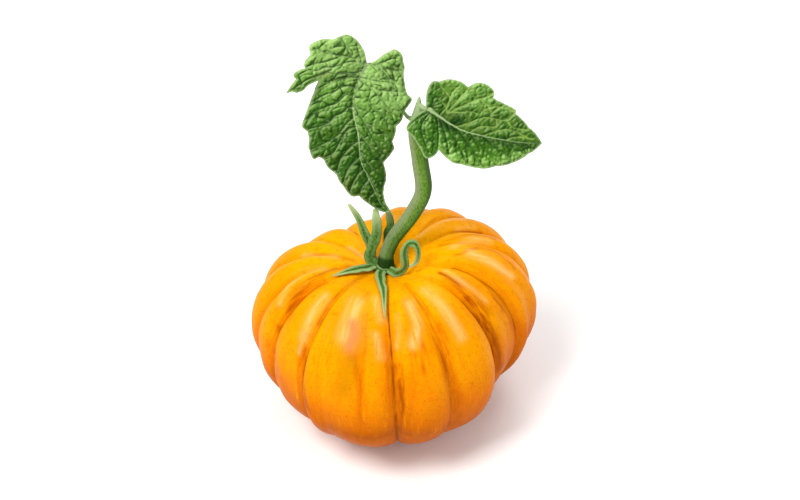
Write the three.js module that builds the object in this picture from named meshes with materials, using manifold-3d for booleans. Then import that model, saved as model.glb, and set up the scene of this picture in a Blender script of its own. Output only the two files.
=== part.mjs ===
// A ribbed beefsteak tomato with its calyx, its cut stem end and two leaves.
// Millimetres, +Z up. The origin is the middle of the flat spot on which the fruit rests.
// +X is the side of the right-hand leaf, -Y is the side that the leaves face.
import * as THREE from "three";
import { mergeVertices } from "three/addons/utils/BufferGeometryUtils.js";
import Module from "manifold-3d";

const wasm = await Module();
wasm.setup();

// Fruit: an oblate body whose plan radius is set lobe by lobe.
const FRUIT = {
  topHeight: 43.7, // equator to shoulder, before the stem end sinks in
  bottomHeight: 41.6, // equator to blossom end
  squareness: 2.17, // 2 is an ellipse, more is boxier
  hollowDepth: 12.65, // sunken stem end
  hollowWidth: 21.3,
  leanX: -0.048, // sideways lean per millimetre of height
  leanY: -0.0485,
  restingCut: 1.6, // how much the flat spot takes off the blossom end
  creasePower: 0.62, // below 1 makes full lobes and narrow creases
  creaseStart: [3, 42], // angles from the crown between which the creases deepen, degrees
  creaseEnd: [105, 166], // and between which they run out towards the blossom end
};
// Each lobe: azimuth of the crease where it starts (degrees from +X), the depth of that
// crease, and the plan radius at the middle of the lobe.
const LOBES = [
  { from: -28.4, crease: 7.0, radius: 52.0 }, { from: -6.7, crease: 4.0, radius: 59.1 },
  { from: 4.6, crease: 1.0, radius: 64.5 }, { from: 19.7, crease: 2.6, radius: 67.1 },
  { from: 32.1, crease: 3.2, radius: 68.7 }, { from: 51.0, crease: 2.6, radius: 67.2 },
  { from: 66.4, crease: 2.6, radius: 60.6 }, { from: 94.4, crease: 2.8, radius: 48.4 },
  { from: 119.1, crease: 3.6, radius: 49.4 }, { from: 148.0, crease: 3.4, radius: 56.1 },
  { from: 171.4, crease: 3.0, radius: 58.1 }, { from: 190.9, crease: 3.2, radius: 56.6 },
  { from: 208.1, crease: 4.2, radius: 56.9 }, { from: 232.7, crease: 3.2, radius: 59.8 },
  { from: 242.6, crease: 0.9, radius: 61.3 }, { from: 273.0, crease: 4.4, radius: 59.1 },
  { from: 297.0, crease: 2.6, radius: 56.6 },
];
const COLUMNS_PER_LOBE = 5;
const FRUIT_RINGS = 28;

const SURFACE_CLEARANCE = 1.1; // underside of a lying sepal above the fruit's formula

// Greens. Their points are measured from the crown, just above the middle of the hollow.
const CROWN_ABOVE_FRUIT = 0.6;
const COLLAR = { radius: 4.4, underside: 0.8, rim: 1.5, top: 2.2 };
const COLLAR_SIDES = 18;

// Sepals that lie on the fruit: azimuth, radius and half width from root to tip, lift at the tip.
const LYING_SEPALS = [
  {
    azimuth: [150, 185, 198, 204], radius: [2.5, 8, 15, 23.4], lift: 0.4,
    halfWidths: [1.5, 1.8, 2.1, 2.0, 1.5, 0.9, 0.2],
  },
  {
    azimuth: [245, 262, 270, 270], radius: [2.5, 11, 22, 35], lift: 0.0,
    halfWidths: [1.9, 2.1, 1.9, 1.6, 1.3, 0.8, 0.2],
  },
];
// Sepals that stand free: points and half widths from root to tip, and where the flat side faces.
const STANDING_SEPALS = [
  {
    path: [[1.4, -3.0, 2.0], [5.0, -5.4, 3.0], [8.0, -5.6, 6.4], [7.8, -4.2, 12.0],
      [9.6, -3.0, 15.6], [12.4, -3.2, 15.8], [14.3, -4.6, 12.8], [13.8, -6.2, 8.6], [10.2, -7.6, 6.4]],
    halfWidths: [1.4, 1.7, 1.5, 1.6, 1.4, 1.3, 1.2, 0.9, 0.3], faces: [0.5, -0.75, 0.45],
  },
  {
    path: [[-2.8, 1.6, 1.3], [-5.4, 3.4, 3.0], [-5.8, 4.8, 7.2], [-8.0, 6.5, 12.4],
      [-11.0, 8.8, 19.6], [-15.0, 10.4, 25.6]],
    halfWidths: [1.5, 1.8, 2.0, 2.0, 1.9, 1.7, 1.3, 0.5], faces: [-0.35, -0.8, 0.5],
  },
  {
    path: [[-3.0, 0.6, 1.2], [-6.3, 1.6, 4.0], [-5.2, 3.0, 9.0], [-3.4, 5.6, 14.6], [-3.9, 10.8, 23.0]],
    halfWidths: [1.3, 2.1, 2.1, 1.9, 2.1, 1.8, 1.4, 0.5], faces: [0.1, -0.8, 0.6],
  },
  {
    path: [[0.9, 3.4, 1.1], [1.7, 7.0, 4.4], [1.1, 8.7, 10.0], [2.3, 10.6, 14.8], [0.6, 13.2, 22.4]],
    halfWidths: [1.4, 1.6, 1.8, 1.9, 1.8, 1.5, 1.1, 0.4], faces: [0.2, -0.8, 0.6],
  },
];
const SEPAL_HALF_THICKNESS = 0.65;
const SEPAL_THINNING = 0.5; // how much thinner the tip is than the root
const SEPAL_SIDES = 8;
const SEPAL_STEPS = 14;
const LYING_SEPAL_POINTS = 7;

const STEM = {
  path: [[0.4, 0.4, 3.2], [0.5, 0.7, 4.6], [1.3, 2.1, 7.8], [3.3, 3.8, 11.8], [7.8, 5.8, 17.7],
    [11.8, 7.6, 23.4], [14.8, 9.3, 28.7], [15.8, 11.1, 34.0], [14.5, 14.1, 43.4], [13.3, 16.4, 50.6],
    [12.8, 18.4, 56.6], [13.4, 19.9, 61.4], [14.0, 22.8, 70.1]],
  radius: [3.4, 3.2, 3.0, 3.0, 3.15, 3.25, 3.3, 3.4, 3.35, 3.3, 3.2, 3.0, 0.35],
  sides: 12, steps: 28,
};

// Leaf blades are drawn flat, u to the right and v up, from the point where the stalk meets
// the blade, then leaned back and bent. A blade has pairs of side lobes. Each lobe is a list of
// points on its edge, and starts where the lobe before it ends; left and right are as if the
// blade hung straight down. Stations say how far along the midrib each pair begins.
const LEFT_LEAF = {
  base: [-6.6, 22.0, 85.2], leanBack: 12.7,
  bulge: 2.4, curl: 3.2, pucker: 0.7, wave: 0.8, arch: 3.0,
  midrib: [[0, 0], [-3.7, -6.6], [-5.6, -13.5], [-5.6, -21], [-4.4, -30.5], [-3.2, -40],
    [0.4, -49], [5.3, -59.5], [9.5, -64.1]],
  stations: [0, 0.05, 0.1, 0.17, 0.25, 0.36, 0.5, 0.64, 0.79, 1],
  left: [[[-0.7, 0.1], [-3, -1.6], [-6, -3.6]], [[-9, -5], [-12.5, -5.8]], [[-15, -5.6], [-17.6, -4.8]],
    [[-19.2, -5.6], [-20.3, -8.8]], [[-22.6, -14], [-24.6, -19.5], [-26.4, -26.2], [-24.3, -28.2]],
    [[-23.8, -31.5], [-24.1, -35], [-22, -40.2], [-20, -39.2]],
    [[-18.2, -40.2], [-16.4, -43.8], [-13, -46.9], [-12, -49.6]],
    [[-10.3, -52], [-6.8, -56.5], [-3.9, -56.3]], [[-2, -58.2], [1.5, -61], [5.5, -63.4], [9.5, -64.1]]],
  right: [[[0.7, 0.6], [2.7, 1.5], [6.5, 4.6], [8.4, 5.8]], [[10.6, 6.9], [13.2, 5.3], [14, 2.4]],
    [[14.6, -0.8], [14.2, -3], [14.9, -9.4]], [[15.6, -11.8], [17.5, -14.2], [16.1, -17.4]],
    [[14.9, -19], [13.2, -23.6], [11.3, -26]], [[10.9, -29], [9.6, -32.7]],
    [[10.4, -35.2], [9.1, -37.8], [6, -41.8]], [[6.9, -45.5], [7.1, -49], [6.2, -52.5]],
    [[6.1, -55.6], [7, -59.6], [9.5, -64.1]]],
};
// The left leaf's big basal lobe, which overlaps the blade and hangs over to the left.
const LEFT_BASAL_LOBE = {
  base: [-6.6, 20.8, 85.7], leanBack: 12.7,
  bulge: 2.0, curl: -0.8, pucker: 0.6, wave: 0.6, arch: 4.4,
  midrib: [[0, 0], [-6, 2.6], [-13, 3], [-20, 0.6], [-27, -5.4], [-32.9, -12.3]],
  stations: [0, 0.22, 0.5, 0.66, 0.82, 1],
  left: [[[-0.2, 0.9], [-1.6, 6.5], [-4.7, 10.8], [-8, 12.5], [-13.4, 10.3]],
    [[-16.9, 10.5], [-20.3, 9.4], [-22.6, 7.6], [-22.3, 4.1]], [[-24.9, 0.4], [-24.6, -1.6]],
    [[-27.2, -2.4], [-29.4, -4.3], [-28.3, -5.9]], [[-30.4, -8.4], [-32.9, -12.3]]],
  right: [[[-1.5, -3.6], [-5, -6.8], [-9, -8.0]], [[-13, -8.0], [-19.1, -6.6]],
    [[-21.6, -8.0], [-24, -9.8]], [[-25.7, -11.4], [-28, -12.3]], [[-29.8, -11.7], [-32.9, -12.3]]],
};
// Leaf stalks, from the stem to the blade. Each goes on as a midrib along the blade's back.
const LEFT_STALK = {
  path: [[9.5, 20.4, 60.7], [8.0, 23.6, 61.4], [3.6, 26.8, 65.8], [-1.9, 27.0, 76.0], [-5.2, 24.6, 83.6]],
  radius: [0.95, 0.85, 0.85, 0.9, 0.95, 0.9, 0.75, 0.6, 0.35],
  sides: 8, steps: 30,
};
const RIGHT_LEAF = {
  base: [17.4, 17.0, 67.5], leanBack: 45,
  bulge: 1.8, curl: 0.6, pucker: 0.6, wave: 0.6, arch: 2.2,
  midrib: [[0, 0], [5.3, -3.6], [10.5, -7.3], [16.4, -9.7], [22.4, -10.8], [34.2, -12.7], [45.7, -13.7]],
  stations: [0, 0.12, 0.28, 0.5, 0.7, 0.86, 1],
  left: [[[-0.8, -0.2], [-3.6, -1.7], [-7.7, -5.6], [-8.6, -8.2], [-6.2, -10.9]],
    [[-3, -16.1], [-0.8, -19.9], [2.4, -19], [4.3, -16.5]], [[5.9, -18.3], [10.4, -21.7], [13.8, -22.4]],
    [[18, -23.4], [23.1, -23.9], [26.5, -23.1]], [[31, -22.5], [38.5, -19.3], [40, -17.9]],
    [[42.3, -16.8], [45.7, -13.7]]],
  right: [[[-0.7, 2.0], [-0.6, 5.5], [0.6, 9.7], [2.2, 11.4], [4.6, 11.2]],
    [[8.2, 12.2], [12.9, 11.3], [16.1, 8.9]], [[19.3, 10.6], [23.3, 10.1], [26.5, 6.9], [26, 4.4]],
    [[28, 3.3], [32.3, 1.3], [35.2, -0.6], [34.9, -1.9]], [[38.6, -5.2], [40.1, -7.4]],
    [[42.4, -9.3], [45.7, -13.7]]],
};
const RIGHT_STALK = {
  path: [[15.6, 20.5, 66.9]],
  radius: [0.95, 0.9, 0.75, 0.6, 0.35],
  sides: 8, steps: 18,
};
const LEFT_KNOT = { centre: [-6.6, 21.5, 85.6], radius: 1.5 }; // joins the lobe, the blade and the stalk
const MIDRIB_STATIONS = [0.01, 0.12, 0.32, 0.62]; // where the rib on the blade's back passes
const MIDRIB_DEPTH = 0.5; // its middle line lies this far behind the blade's middle
const BLADE_HALF_THICKNESS = 0.45;
const COLUMNS_PER_LEAF_LOBE = 4;
const BLADE_ROWS = 3;
const FULL_RELIEF_WIDTH = 8; // where the blade is narrower than this, its relief is lower
const FACING = new THREE.Vector3(0, -0.79, 0.61); // the side that both leaves turn to the light

const smooth = (x, a, b) => THREE.MathUtils.smoothstep(x, a, b);
const radians = THREE.MathUtils.degToRad;

// The lobe at an azimuth: how far across it the azimuth lies, crease depth and plan radius.
function lobeAt(azimuth) {
  const first = LOBES[0].from;
  const a = THREE.MathUtils.euclideanModulo(azimuth - first, 360) + first;
  const count = LOBES.length;
  let i = LOBES.findLastIndex((lobe) => lobe.from <= a + 1e-9);
  i = Math.max(i, 0);
  const start = (k) => LOBES[THREE.MathUtils.euclideanModulo(k, count)].from + 360 * Math.floor(k / count);
  const lobe = (k) => LOBES[THREE.MathUtils.euclideanModulo(k, count)];
  const centre = (k) => (start(k) + start(k + 1)) / 2;
  const across = (a - start(i)) / (start(i + 1) - start(i));
  const crease = THREE.MathUtils.lerp(lobe(i).crease, lobe(i + 1).crease, across);
  const k = a < centre(i) ? i - 1 : i;
  const blend = smooth(a, centre(k), centre(k + 1));
  return { across, crease, radius: THREE.MathUtils.lerp(lobe(k).radius, lobe(k + 1).radius, blend) };
}

// Profile of the smooth body under the ribs, from the crown (angle 0) to the blossom end (pi).
function profile(angle, radius) {
  const s = Math.sin(angle);
  const c = Math.cos(angle);
  const power = 2 / FRUIT.squareness;
  const r = radius * Math.abs(s) ** power;
  const half = c > 0 ? FRUIT.topHeight : FRUIT.bottomHeight;
  const hollow = c > 0 ? FRUIT.hollowDepth * Math.exp(-((r / FRUIT.hollowWidth) ** 2)) : 0;
  return { r, z: FRUIT.bottomHeight + half * Math.sign(c) * Math.abs(c) ** power - hollow };
}

// A point of the fruit's skin, or of a skin raised by the given height.
function fruitPoint(azimuth, angle, height = 0) {
  const { across, crease, radius } = lobeAt(azimuth);
  const step = 1e-3;
  const here = profile(angle, radius);
  const above = profile(Math.max(angle - step, 0), radius);
  const below = profile(Math.min(angle + step, Math.PI), radius);
  const length = Math.hypot(below.r - above.r, below.z - above.z);
  const normal = { r: -(below.z - above.z) / length, z: (below.r - above.r) / length };
  const fullness = Math.max(Math.sin(Math.PI * across), 0) ** FRUIT.creasePower;
  const rib = (fullness - 1) * crease;
  const [start, end] = [FRUIT.creaseStart, FRUIT.creaseEnd].map((angles) => angles.map(radians));
  const fade = smooth(angle, ...start) * (1 - smooth(angle, ...end));
  const out = rib * fade + height;
  const r = Math.max(here.r + normal.r * out, 0);
  const z = Math.max(here.z + normal.z * out, FRUIT.restingCut) - FRUIT.restingCut;
  const phi = radians(azimuth);
  return new THREE.Vector3(r * Math.cos(phi) + FRUIT.leanX * z, r * Math.sin(phi) + FRUIT.leanY * z, z);
}

// The angle from the crown at which the fruit has a given radius at an azimuth.
function angleAtRadius(azimuth, radius) {
  let low = 0;
  let high = Math.PI / 2;
  for (let i = 0; i < 30; i += 1) {
    const middle = (low + high) / 2;
    const p = fruitPoint(azimuth, middle);
    if (Math.hypot(p.x - FRUIT.leanX * p.z, p.y - FRUIT.leanY * p.z) < radius) low = middle;
    else high = middle;
  }
  return (low + high) / 2;
}

// Merges doubled corners and drops the faces that this leaves without area.
function weld(geometry) {
  geometry.deleteAttribute("normal");
  geometry.deleteAttribute("uv");
  const merged = mergeVertices(geometry, 1e-4);
  const index = merged.index.array;
  const kept = [];
  for (let i = 0; i < index.length; i += 3) {
    const [a, b, c] = [index[i], index[i + 1], index[i + 2]];
    if (a !== b && b !== c && c !== a) kept.push(a, b, c);
  }
  merged.setIndex(kept);
  return merged;
}

function toSolid(geometry) {
  const merged = weld(geometry);
  const mesh = { numProp: 3, vertProperties: merged.attributes.position.array, triVerts: merged.index.array };
  return new wasm.Manifold(new wasm.Mesh(mesh));
}

function fromSolid(solid) {
  const { vertProperties, triVerts } = solid.getMesh();
  const geometry = new THREE.BufferGeometry();
  geometry.setAttribute("position", new THREE.BufferAttribute(new Float32Array(vertProperties), 3));
  geometry.setIndex(Array.from(triVerts));
  return geometry;
}

// Joins solids into one body. A hollow that this seals is filled, and a loose scrap is dropped.
function fuse(geometries) {
  const bodies = geometries.map(toSolid).reduce((all, next) => all.add(next)).decompose();
  return fromSolid(bodies.sort((a, b) => b.volume() - a.volume())[0]);
}

function fruitGeometry() {
  const columns = LOBES.length * COLUMNS_PER_LOBE;
  const geometry = new THREE.SphereGeometry(1, columns, FRUIT_RINGS);
  const position = geometry.attributes.position;
  for (let row = 0; row <= FRUIT_RINGS; row += 1) {
    for (let column = 0; column <= columns; column += 1) {
      const lobe = Math.floor((column % columns) / COLUMNS_PER_LOBE);
      const next = lobe + 1 < LOBES.length ? LOBES[lobe + 1].from : LOBES[0].from + 360;
      const part = (column % COLUMNS_PER_LOBE) / COLUMNS_PER_LOBE;
      const azimuth = THREE.MathUtils.lerp(LOBES[lobe].from, next, part);
      const point = fruitPoint(azimuth, (Math.PI * row) / FRUIT_RINGS);
      position.setXYZ(row * (columns + 1) + column, point.x, point.y, point.z);
    }
  }
  return weld(geometry);
}

// A closed rod along a smooth path. Its section is round, or flattened across a facing side.
function rod({ path, sides, steps }, widthAt, thicknessAt, faces) {
  const curve = new THREE.CatmullRomCurve3(path.map((p) => new THREE.Vector3(...p)));
  const geometry = new THREE.CylinderGeometry(1, 1, 1, sides, steps);
  const position = geometry.attributes.position;
  const side = new THREE.Vector3(...(faces ?? [0.3, -1, 0.2]));
  for (let i = 0; i < position.count; i += 1) {
    const t = THREE.MathUtils.clamp(position.getY(i) + 0.5, 0, 1);
    const tangent = curve.getTangent(t);
    const across = new THREE.Vector3().crossVectors(tangent, side).normalize();
    const front = new THREE.Vector3().crossVectors(across, tangent);
    const point = curve.getPoint(t);
    point.addScaledVector(across, position.getX(i) * widthAt(t));
    point.addScaledVector(front, position.getZ(i) * thicknessAt(t));
    position.setXYZ(i, point.x, point.y, point.z);
  }
  return weld(geometry);
}

// Reads a list of values, spread evenly from 0 to 1.
function along(values, t) {
  const place = THREE.MathUtils.clamp(t, 0, 1) * (values.length - 1);
  const i = Math.min(Math.floor(place), values.length - 2);
  return THREE.MathUtils.lerp(values[i], values[i + 1], place - i);
}

function stalk(shape) {
  const radius = (t) => along(shape.radius, t);
  return rod(shape, radius, radius);
}

function sepal(path, halfWidths, faces) {
  const width = (t) => along(halfWidths, t);
  const thickness = (t) => SEPAL_HALF_THICKNESS * (1 - SEPAL_THINNING * t);
  return rod({ path, sides: SEPAL_SIDES, steps: SEPAL_STEPS }, width, thickness, faces);
}

// A sepal on the fruit: its path keeps clear of the skin all the way.
function lyingSepal({ azimuth, radius, halfWidths, lift }, crown) {
  const path = [];
  for (let i = 0; i < LYING_SEPAL_POINTS; i += 1) {
    const t = i / (LYING_SEPAL_POINTS - 1);
    const phi = along(azimuth, t);
    const r = along(radius, t);
    const height = SURFACE_CLEARANCE + SEPAL_HALF_THICKNESS + lift * t;
    path.push(fruitPoint(phi, angleAtRadius(phi, r), height).sub(crown).toArray());
  }
  return sepal(path, halfWidths, [0, 0, 1]);
}

function calyxGeometry(crown) {
  const { radius, underside, rim, top } = COLLAR;
  const outline = [[0, 0], [radius * 0.75, underside * 0.4], [radius, underside], [radius * 0.95, rim],
    [radius * 0.6, top], [0, top]];
  const points = outline.map(([r, z]) => new THREE.Vector2(r, z));
  const collar = new THREE.LatheGeometry(points, COLLAR_SIDES);
  collar.rotateX(Math.PI / 2);
  const pieces = [collar];
  LYING_SEPALS.forEach((item) => pieces.push(lyingSepal(item, crown)));
  STANDING_SEPALS.forEach(({ path, halfWidths, faces }) => pieces.push(sepal(path, halfWidths, faces)));
  return fuse(pieces);
}

// Even steps along a smooth curve through flat points.
function edgePoint(points, t) {
  const curve = new THREE.CatmullRomCurve3(points.map(([u, v]) => new THREE.Vector3(u, v, 0)));
  return curve.getPointAt(t);
}

// Directions of a leaf's own plane, leaned back from upright.
function leafPlane({ leanBack }) {
  const lean = radians(leanBack);
  return {
    up: new THREE.Vector3(0, Math.sin(lean), Math.cos(lean)),
    normal: new THREE.Vector3(0, -Math.cos(lean), Math.sin(lean)),
  };
}

// A flat point of the blade, leaned back and raised towards the light.
function bent(leaf, flat, relief) {
  const point = new THREE.Vector3(...leaf.base).addScaledVector(leafPlane(leaf).up, flat.y);
  point.x += flat.x;
  return point.addScaledVector(FACING, relief);
}

const archAt = (leaf, station) => leaf.arch * Math.sin(Math.PI * station);

function leafStalk(shape, leaf) {
  const rib = MIDRIB_STATIONS.map((station) => {
    const point = bent(leaf, edgePoint(leaf.midrib, station), archAt(leaf, station));
    return point.addScaledVector(leafPlane(leaf).normal, -MIDRIB_DEPTH).toArray();
  });
  return stalk({ ...shape, path: [...shape.path, ...rib] });
}

// A closed leaf blade: a grid from the midrib to the edge on both sides, the same on both faces.
function bladeGeometry(leaf) {
  const lobes = leaf.stations.length - 1;
  const columns = lobes * COLUMNS_PER_LEAF_LOBE;
  const positions = [];
  const faces = [];
  const { normal } = leafPlane(leaf);
  const sides = [leaf.left, leaf.right];
  const perSide = (columns + 1) * (BLADE_ROWS + 1) * 2;
  const vertex = (side, column, row, back) => side * perSide + (column * (BLADE_ROWS + 1) + row) * 2 + back;

  sides.forEach((edges) => {
    for (let column = 0; column <= columns; column += 1) {
      const lobe = Math.min(Math.floor(column / COLUMNS_PER_LEAF_LOBE), lobes - 1);
      const part = column / COLUMNS_PER_LEAF_LOBE - lobe;
      const station = THREE.MathUtils.lerp(leaf.stations[lobe], leaf.stations[lobe + 1], part);
      const foot = edgePoint(leaf.midrib, station);
      const points = lobe === 0 ? edges[0] : [edges[lobe - 1].at(-1), ...edges[lobe]];
      const edge = edgePoint(points, part);
      for (let row = 0; row <= BLADE_ROWS; row += 1) {
        const t = row / BLADE_ROWS;
        const flat = foot.clone().lerp(edge, t);
        const between = Math.cos(2 * Math.PI * part);
        const inside = (leaf.bulge + leaf.pucker * between) * Math.sin(Math.PI * t);
        const outside = (leaf.wave * between - leaf.curl) * t * t;
        const relief = (inside + outside) * Math.min(1, foot.distanceTo(edge) / FULL_RELIEF_WIDTH)
          + archAt(leaf, station);
        const middle = bent(leaf, flat, relief);
        [1, -1].forEach((face) => {
          const point = middle.clone().addScaledVector(normal, face * BLADE_HALF_THICKNESS);
          positions.push(point.x, point.y, point.z);
        });
      }
    }
  });

  // quad a-b-c-d, turned round where asked
  const quad = (a, b, c, d, turned) => faces.push(...(turned ? [a, c, b, a, d, c] : [a, b, c, a, c, d]));
  [0, 1].forEach((side) => {
    const isRight = side === 1;
    for (let column = 0; column < columns; column += 1) {
      for (let row = 0; row < BLADE_ROWS; row += 1) {
        [0, 1].forEach((back) => {
          const corners = [[column, row], [column + 1, row], [column + 1, row + 1], [column, row + 1]];
          const ids = corners.map(([c, r]) => vertex(side, c, r, back));
          quad(...ids, isRight === (back === 1));
        });
      }
      const edge = [vertex(side, column, BLADE_ROWS, 0), vertex(side, column + 1, BLADE_ROWS, 0),
        vertex(side, column + 1, BLADE_ROWS, 1), vertex(side, column, BLADE_ROWS, 1)];
      quad(...edge, !isRight);
    }
    for (let row = 0; row < BLADE_ROWS; row += 1) {
      const end = [vertex(side, 0, row, 0), vertex(side, 0, row + 1, 0),
        vertex(side, 0, row + 1, 1), vertex(side, 0, row, 1)];
      quad(...end, !isRight);
    }
  });
  const geometry = new THREE.BufferGeometry();
  geometry.setAttribute("position", new THREE.Float32BufferAttribute(positions, 3));
  geometry.setIndex(faces);
  return weld(geometry);
}

function material(color, roughness) {
  return new THREE.MeshStandardMaterial({ color, roughness, metalness: 0 });
}

function piece(name, geometry, look) {
  const mesh = new THREE.Mesh(geometry, look);
  mesh.name = name;
  return mesh;
}

function knot({ centre, radius }) {
  return new THREE.SphereGeometry(radius, 10, 8).translate(...centre);
}

const crown = fruitPoint(0, 0, CROWN_ABOVE_FRUIT);
const leftLeaf = fuse([
  bladeGeometry(LEFT_LEAF), bladeGeometry(LEFT_BASAL_LOBE), leafStalk(LEFT_STALK, LEFT_LEAF), knot(LEFT_KNOT),
]);
const rightLeaf = fuse([bladeGeometry(RIGHT_LEAF), leafStalk(RIGHT_STALK, RIGHT_LEAF)]);
const tomato = new THREE.Group();
const greens = new THREE.Group();
greens.position.copy(crown);
tomato.add(piece("fruit", fruitGeometry(), material(0xf59a12, 0.35)), greens);
greens.add(
  piece("calyx", calyxGeometry(crown), material(0x4f7a32, 0.6)),
  piece("stem", stalk(STEM), material(0x4c7a2c, 0.55)),
  piece("leaf_left", leftLeaf, material(0x2f6b23, 0.6)),
  piece("leaf_right", rightLeaf, material(0x2f6b23, 0.6)),
);

export default tomato;
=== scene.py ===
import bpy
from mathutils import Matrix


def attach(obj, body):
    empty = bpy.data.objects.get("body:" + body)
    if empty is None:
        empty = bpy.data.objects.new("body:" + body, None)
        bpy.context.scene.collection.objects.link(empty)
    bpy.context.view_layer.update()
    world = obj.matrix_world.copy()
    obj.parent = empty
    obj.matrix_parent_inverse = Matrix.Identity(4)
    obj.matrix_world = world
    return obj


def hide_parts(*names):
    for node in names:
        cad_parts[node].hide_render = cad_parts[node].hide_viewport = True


bl_info = {
    "name": "Ribbed beefsteak tomato",
    "version": (1, 0, 0),
    "blender": (4, 5, 0),
    "location": "View3D > Sidebar > Tomato",
    "description": "Makes a ribbed tomato with its sepals, its cut stem end and two leaves",
    "category": "Object",
}

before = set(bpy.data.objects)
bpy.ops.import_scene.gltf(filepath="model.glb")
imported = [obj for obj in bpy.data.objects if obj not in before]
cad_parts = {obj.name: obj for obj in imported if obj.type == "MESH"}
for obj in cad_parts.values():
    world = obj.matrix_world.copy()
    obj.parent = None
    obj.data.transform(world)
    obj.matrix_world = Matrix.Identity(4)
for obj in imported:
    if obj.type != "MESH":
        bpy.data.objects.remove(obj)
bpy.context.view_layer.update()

import math

import bpy
import numpy as np
from mathutils import Vector, noise
from mathutils.geometry import delaunay_2d_cdt
from mathutils.kdtree import KDTree

MM = 0.001

# The fruit's form, in millimetres: the same named values as its solid.
TOP_HEIGHT = 43.7
BOTTOM_HEIGHT = 41.6
SQUARENESS = 2.17
HOLLOW_DEPTH = 12.65
HOLLOW_WIDTH = 21.3
LEAN_X = -0.048
LEAN_Y = -0.0485
RESTING_CUT = 1.6
CREASE_POWER = 0.62
# Azimuth of the crease that starts each lobe, that crease's depth, and the lobe's radius.
LOBES = (
    (-28.4, 7.0, 52.0), (-6.7, 4.0, 59.1), (4.6, 1.0, 64.5), (19.7, 2.6, 67.1), (32.1, 3.2, 68.7),
    (51.0, 2.6, 67.2), (66.4, 2.6, 60.6), (94.4, 2.8, 48.4), (119.1, 3.6, 49.4), (148.0, 3.4, 56.1),
    (171.4, 3.0, 58.1), (190.9, 3.2, 56.6), (208.1, 4.2, 56.9), (232.7, 3.2, 59.8), (242.6, 0.9, 61.3),
    (273.0, 4.4, 59.1), (297.0, 2.6, 56.6),
)
FRUIT_COLUMNS_PER_LOBE = 16
FRUIT_RINGS = 170
FULL_CREASE = 3.0
GROOVE_DEPTH = 0.9
# How fine the swellings and the dents of the skin are, and the dents' share of the height.
SWELL_SCALE = 3.2
DENT_SCALE = 9.0
DENT_SHARE = 0.25
# Pairs of angles from the crown, in degrees, between which something rises or fades.
CREASE_RISE = (3, 42)
CREASE_FADE = (105, 166)
CREASE_SHADE_RISE = (8, 30)
CREASE_SHADE_FADE = (120, 160)
SWELL_RISE = (12, 32)
SWELL_FADE = (150, 160)
STREAK_KINDS = ("groove", "pale", "blush", "orange", "brown", "olive")
# Millimetres on the skin for a degree around and a degree down, and how far around a streak shows.
STREAK_AROUND = 1.02
STREAK_DOWN = 0.85
STREAK_REACH = 40
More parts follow.
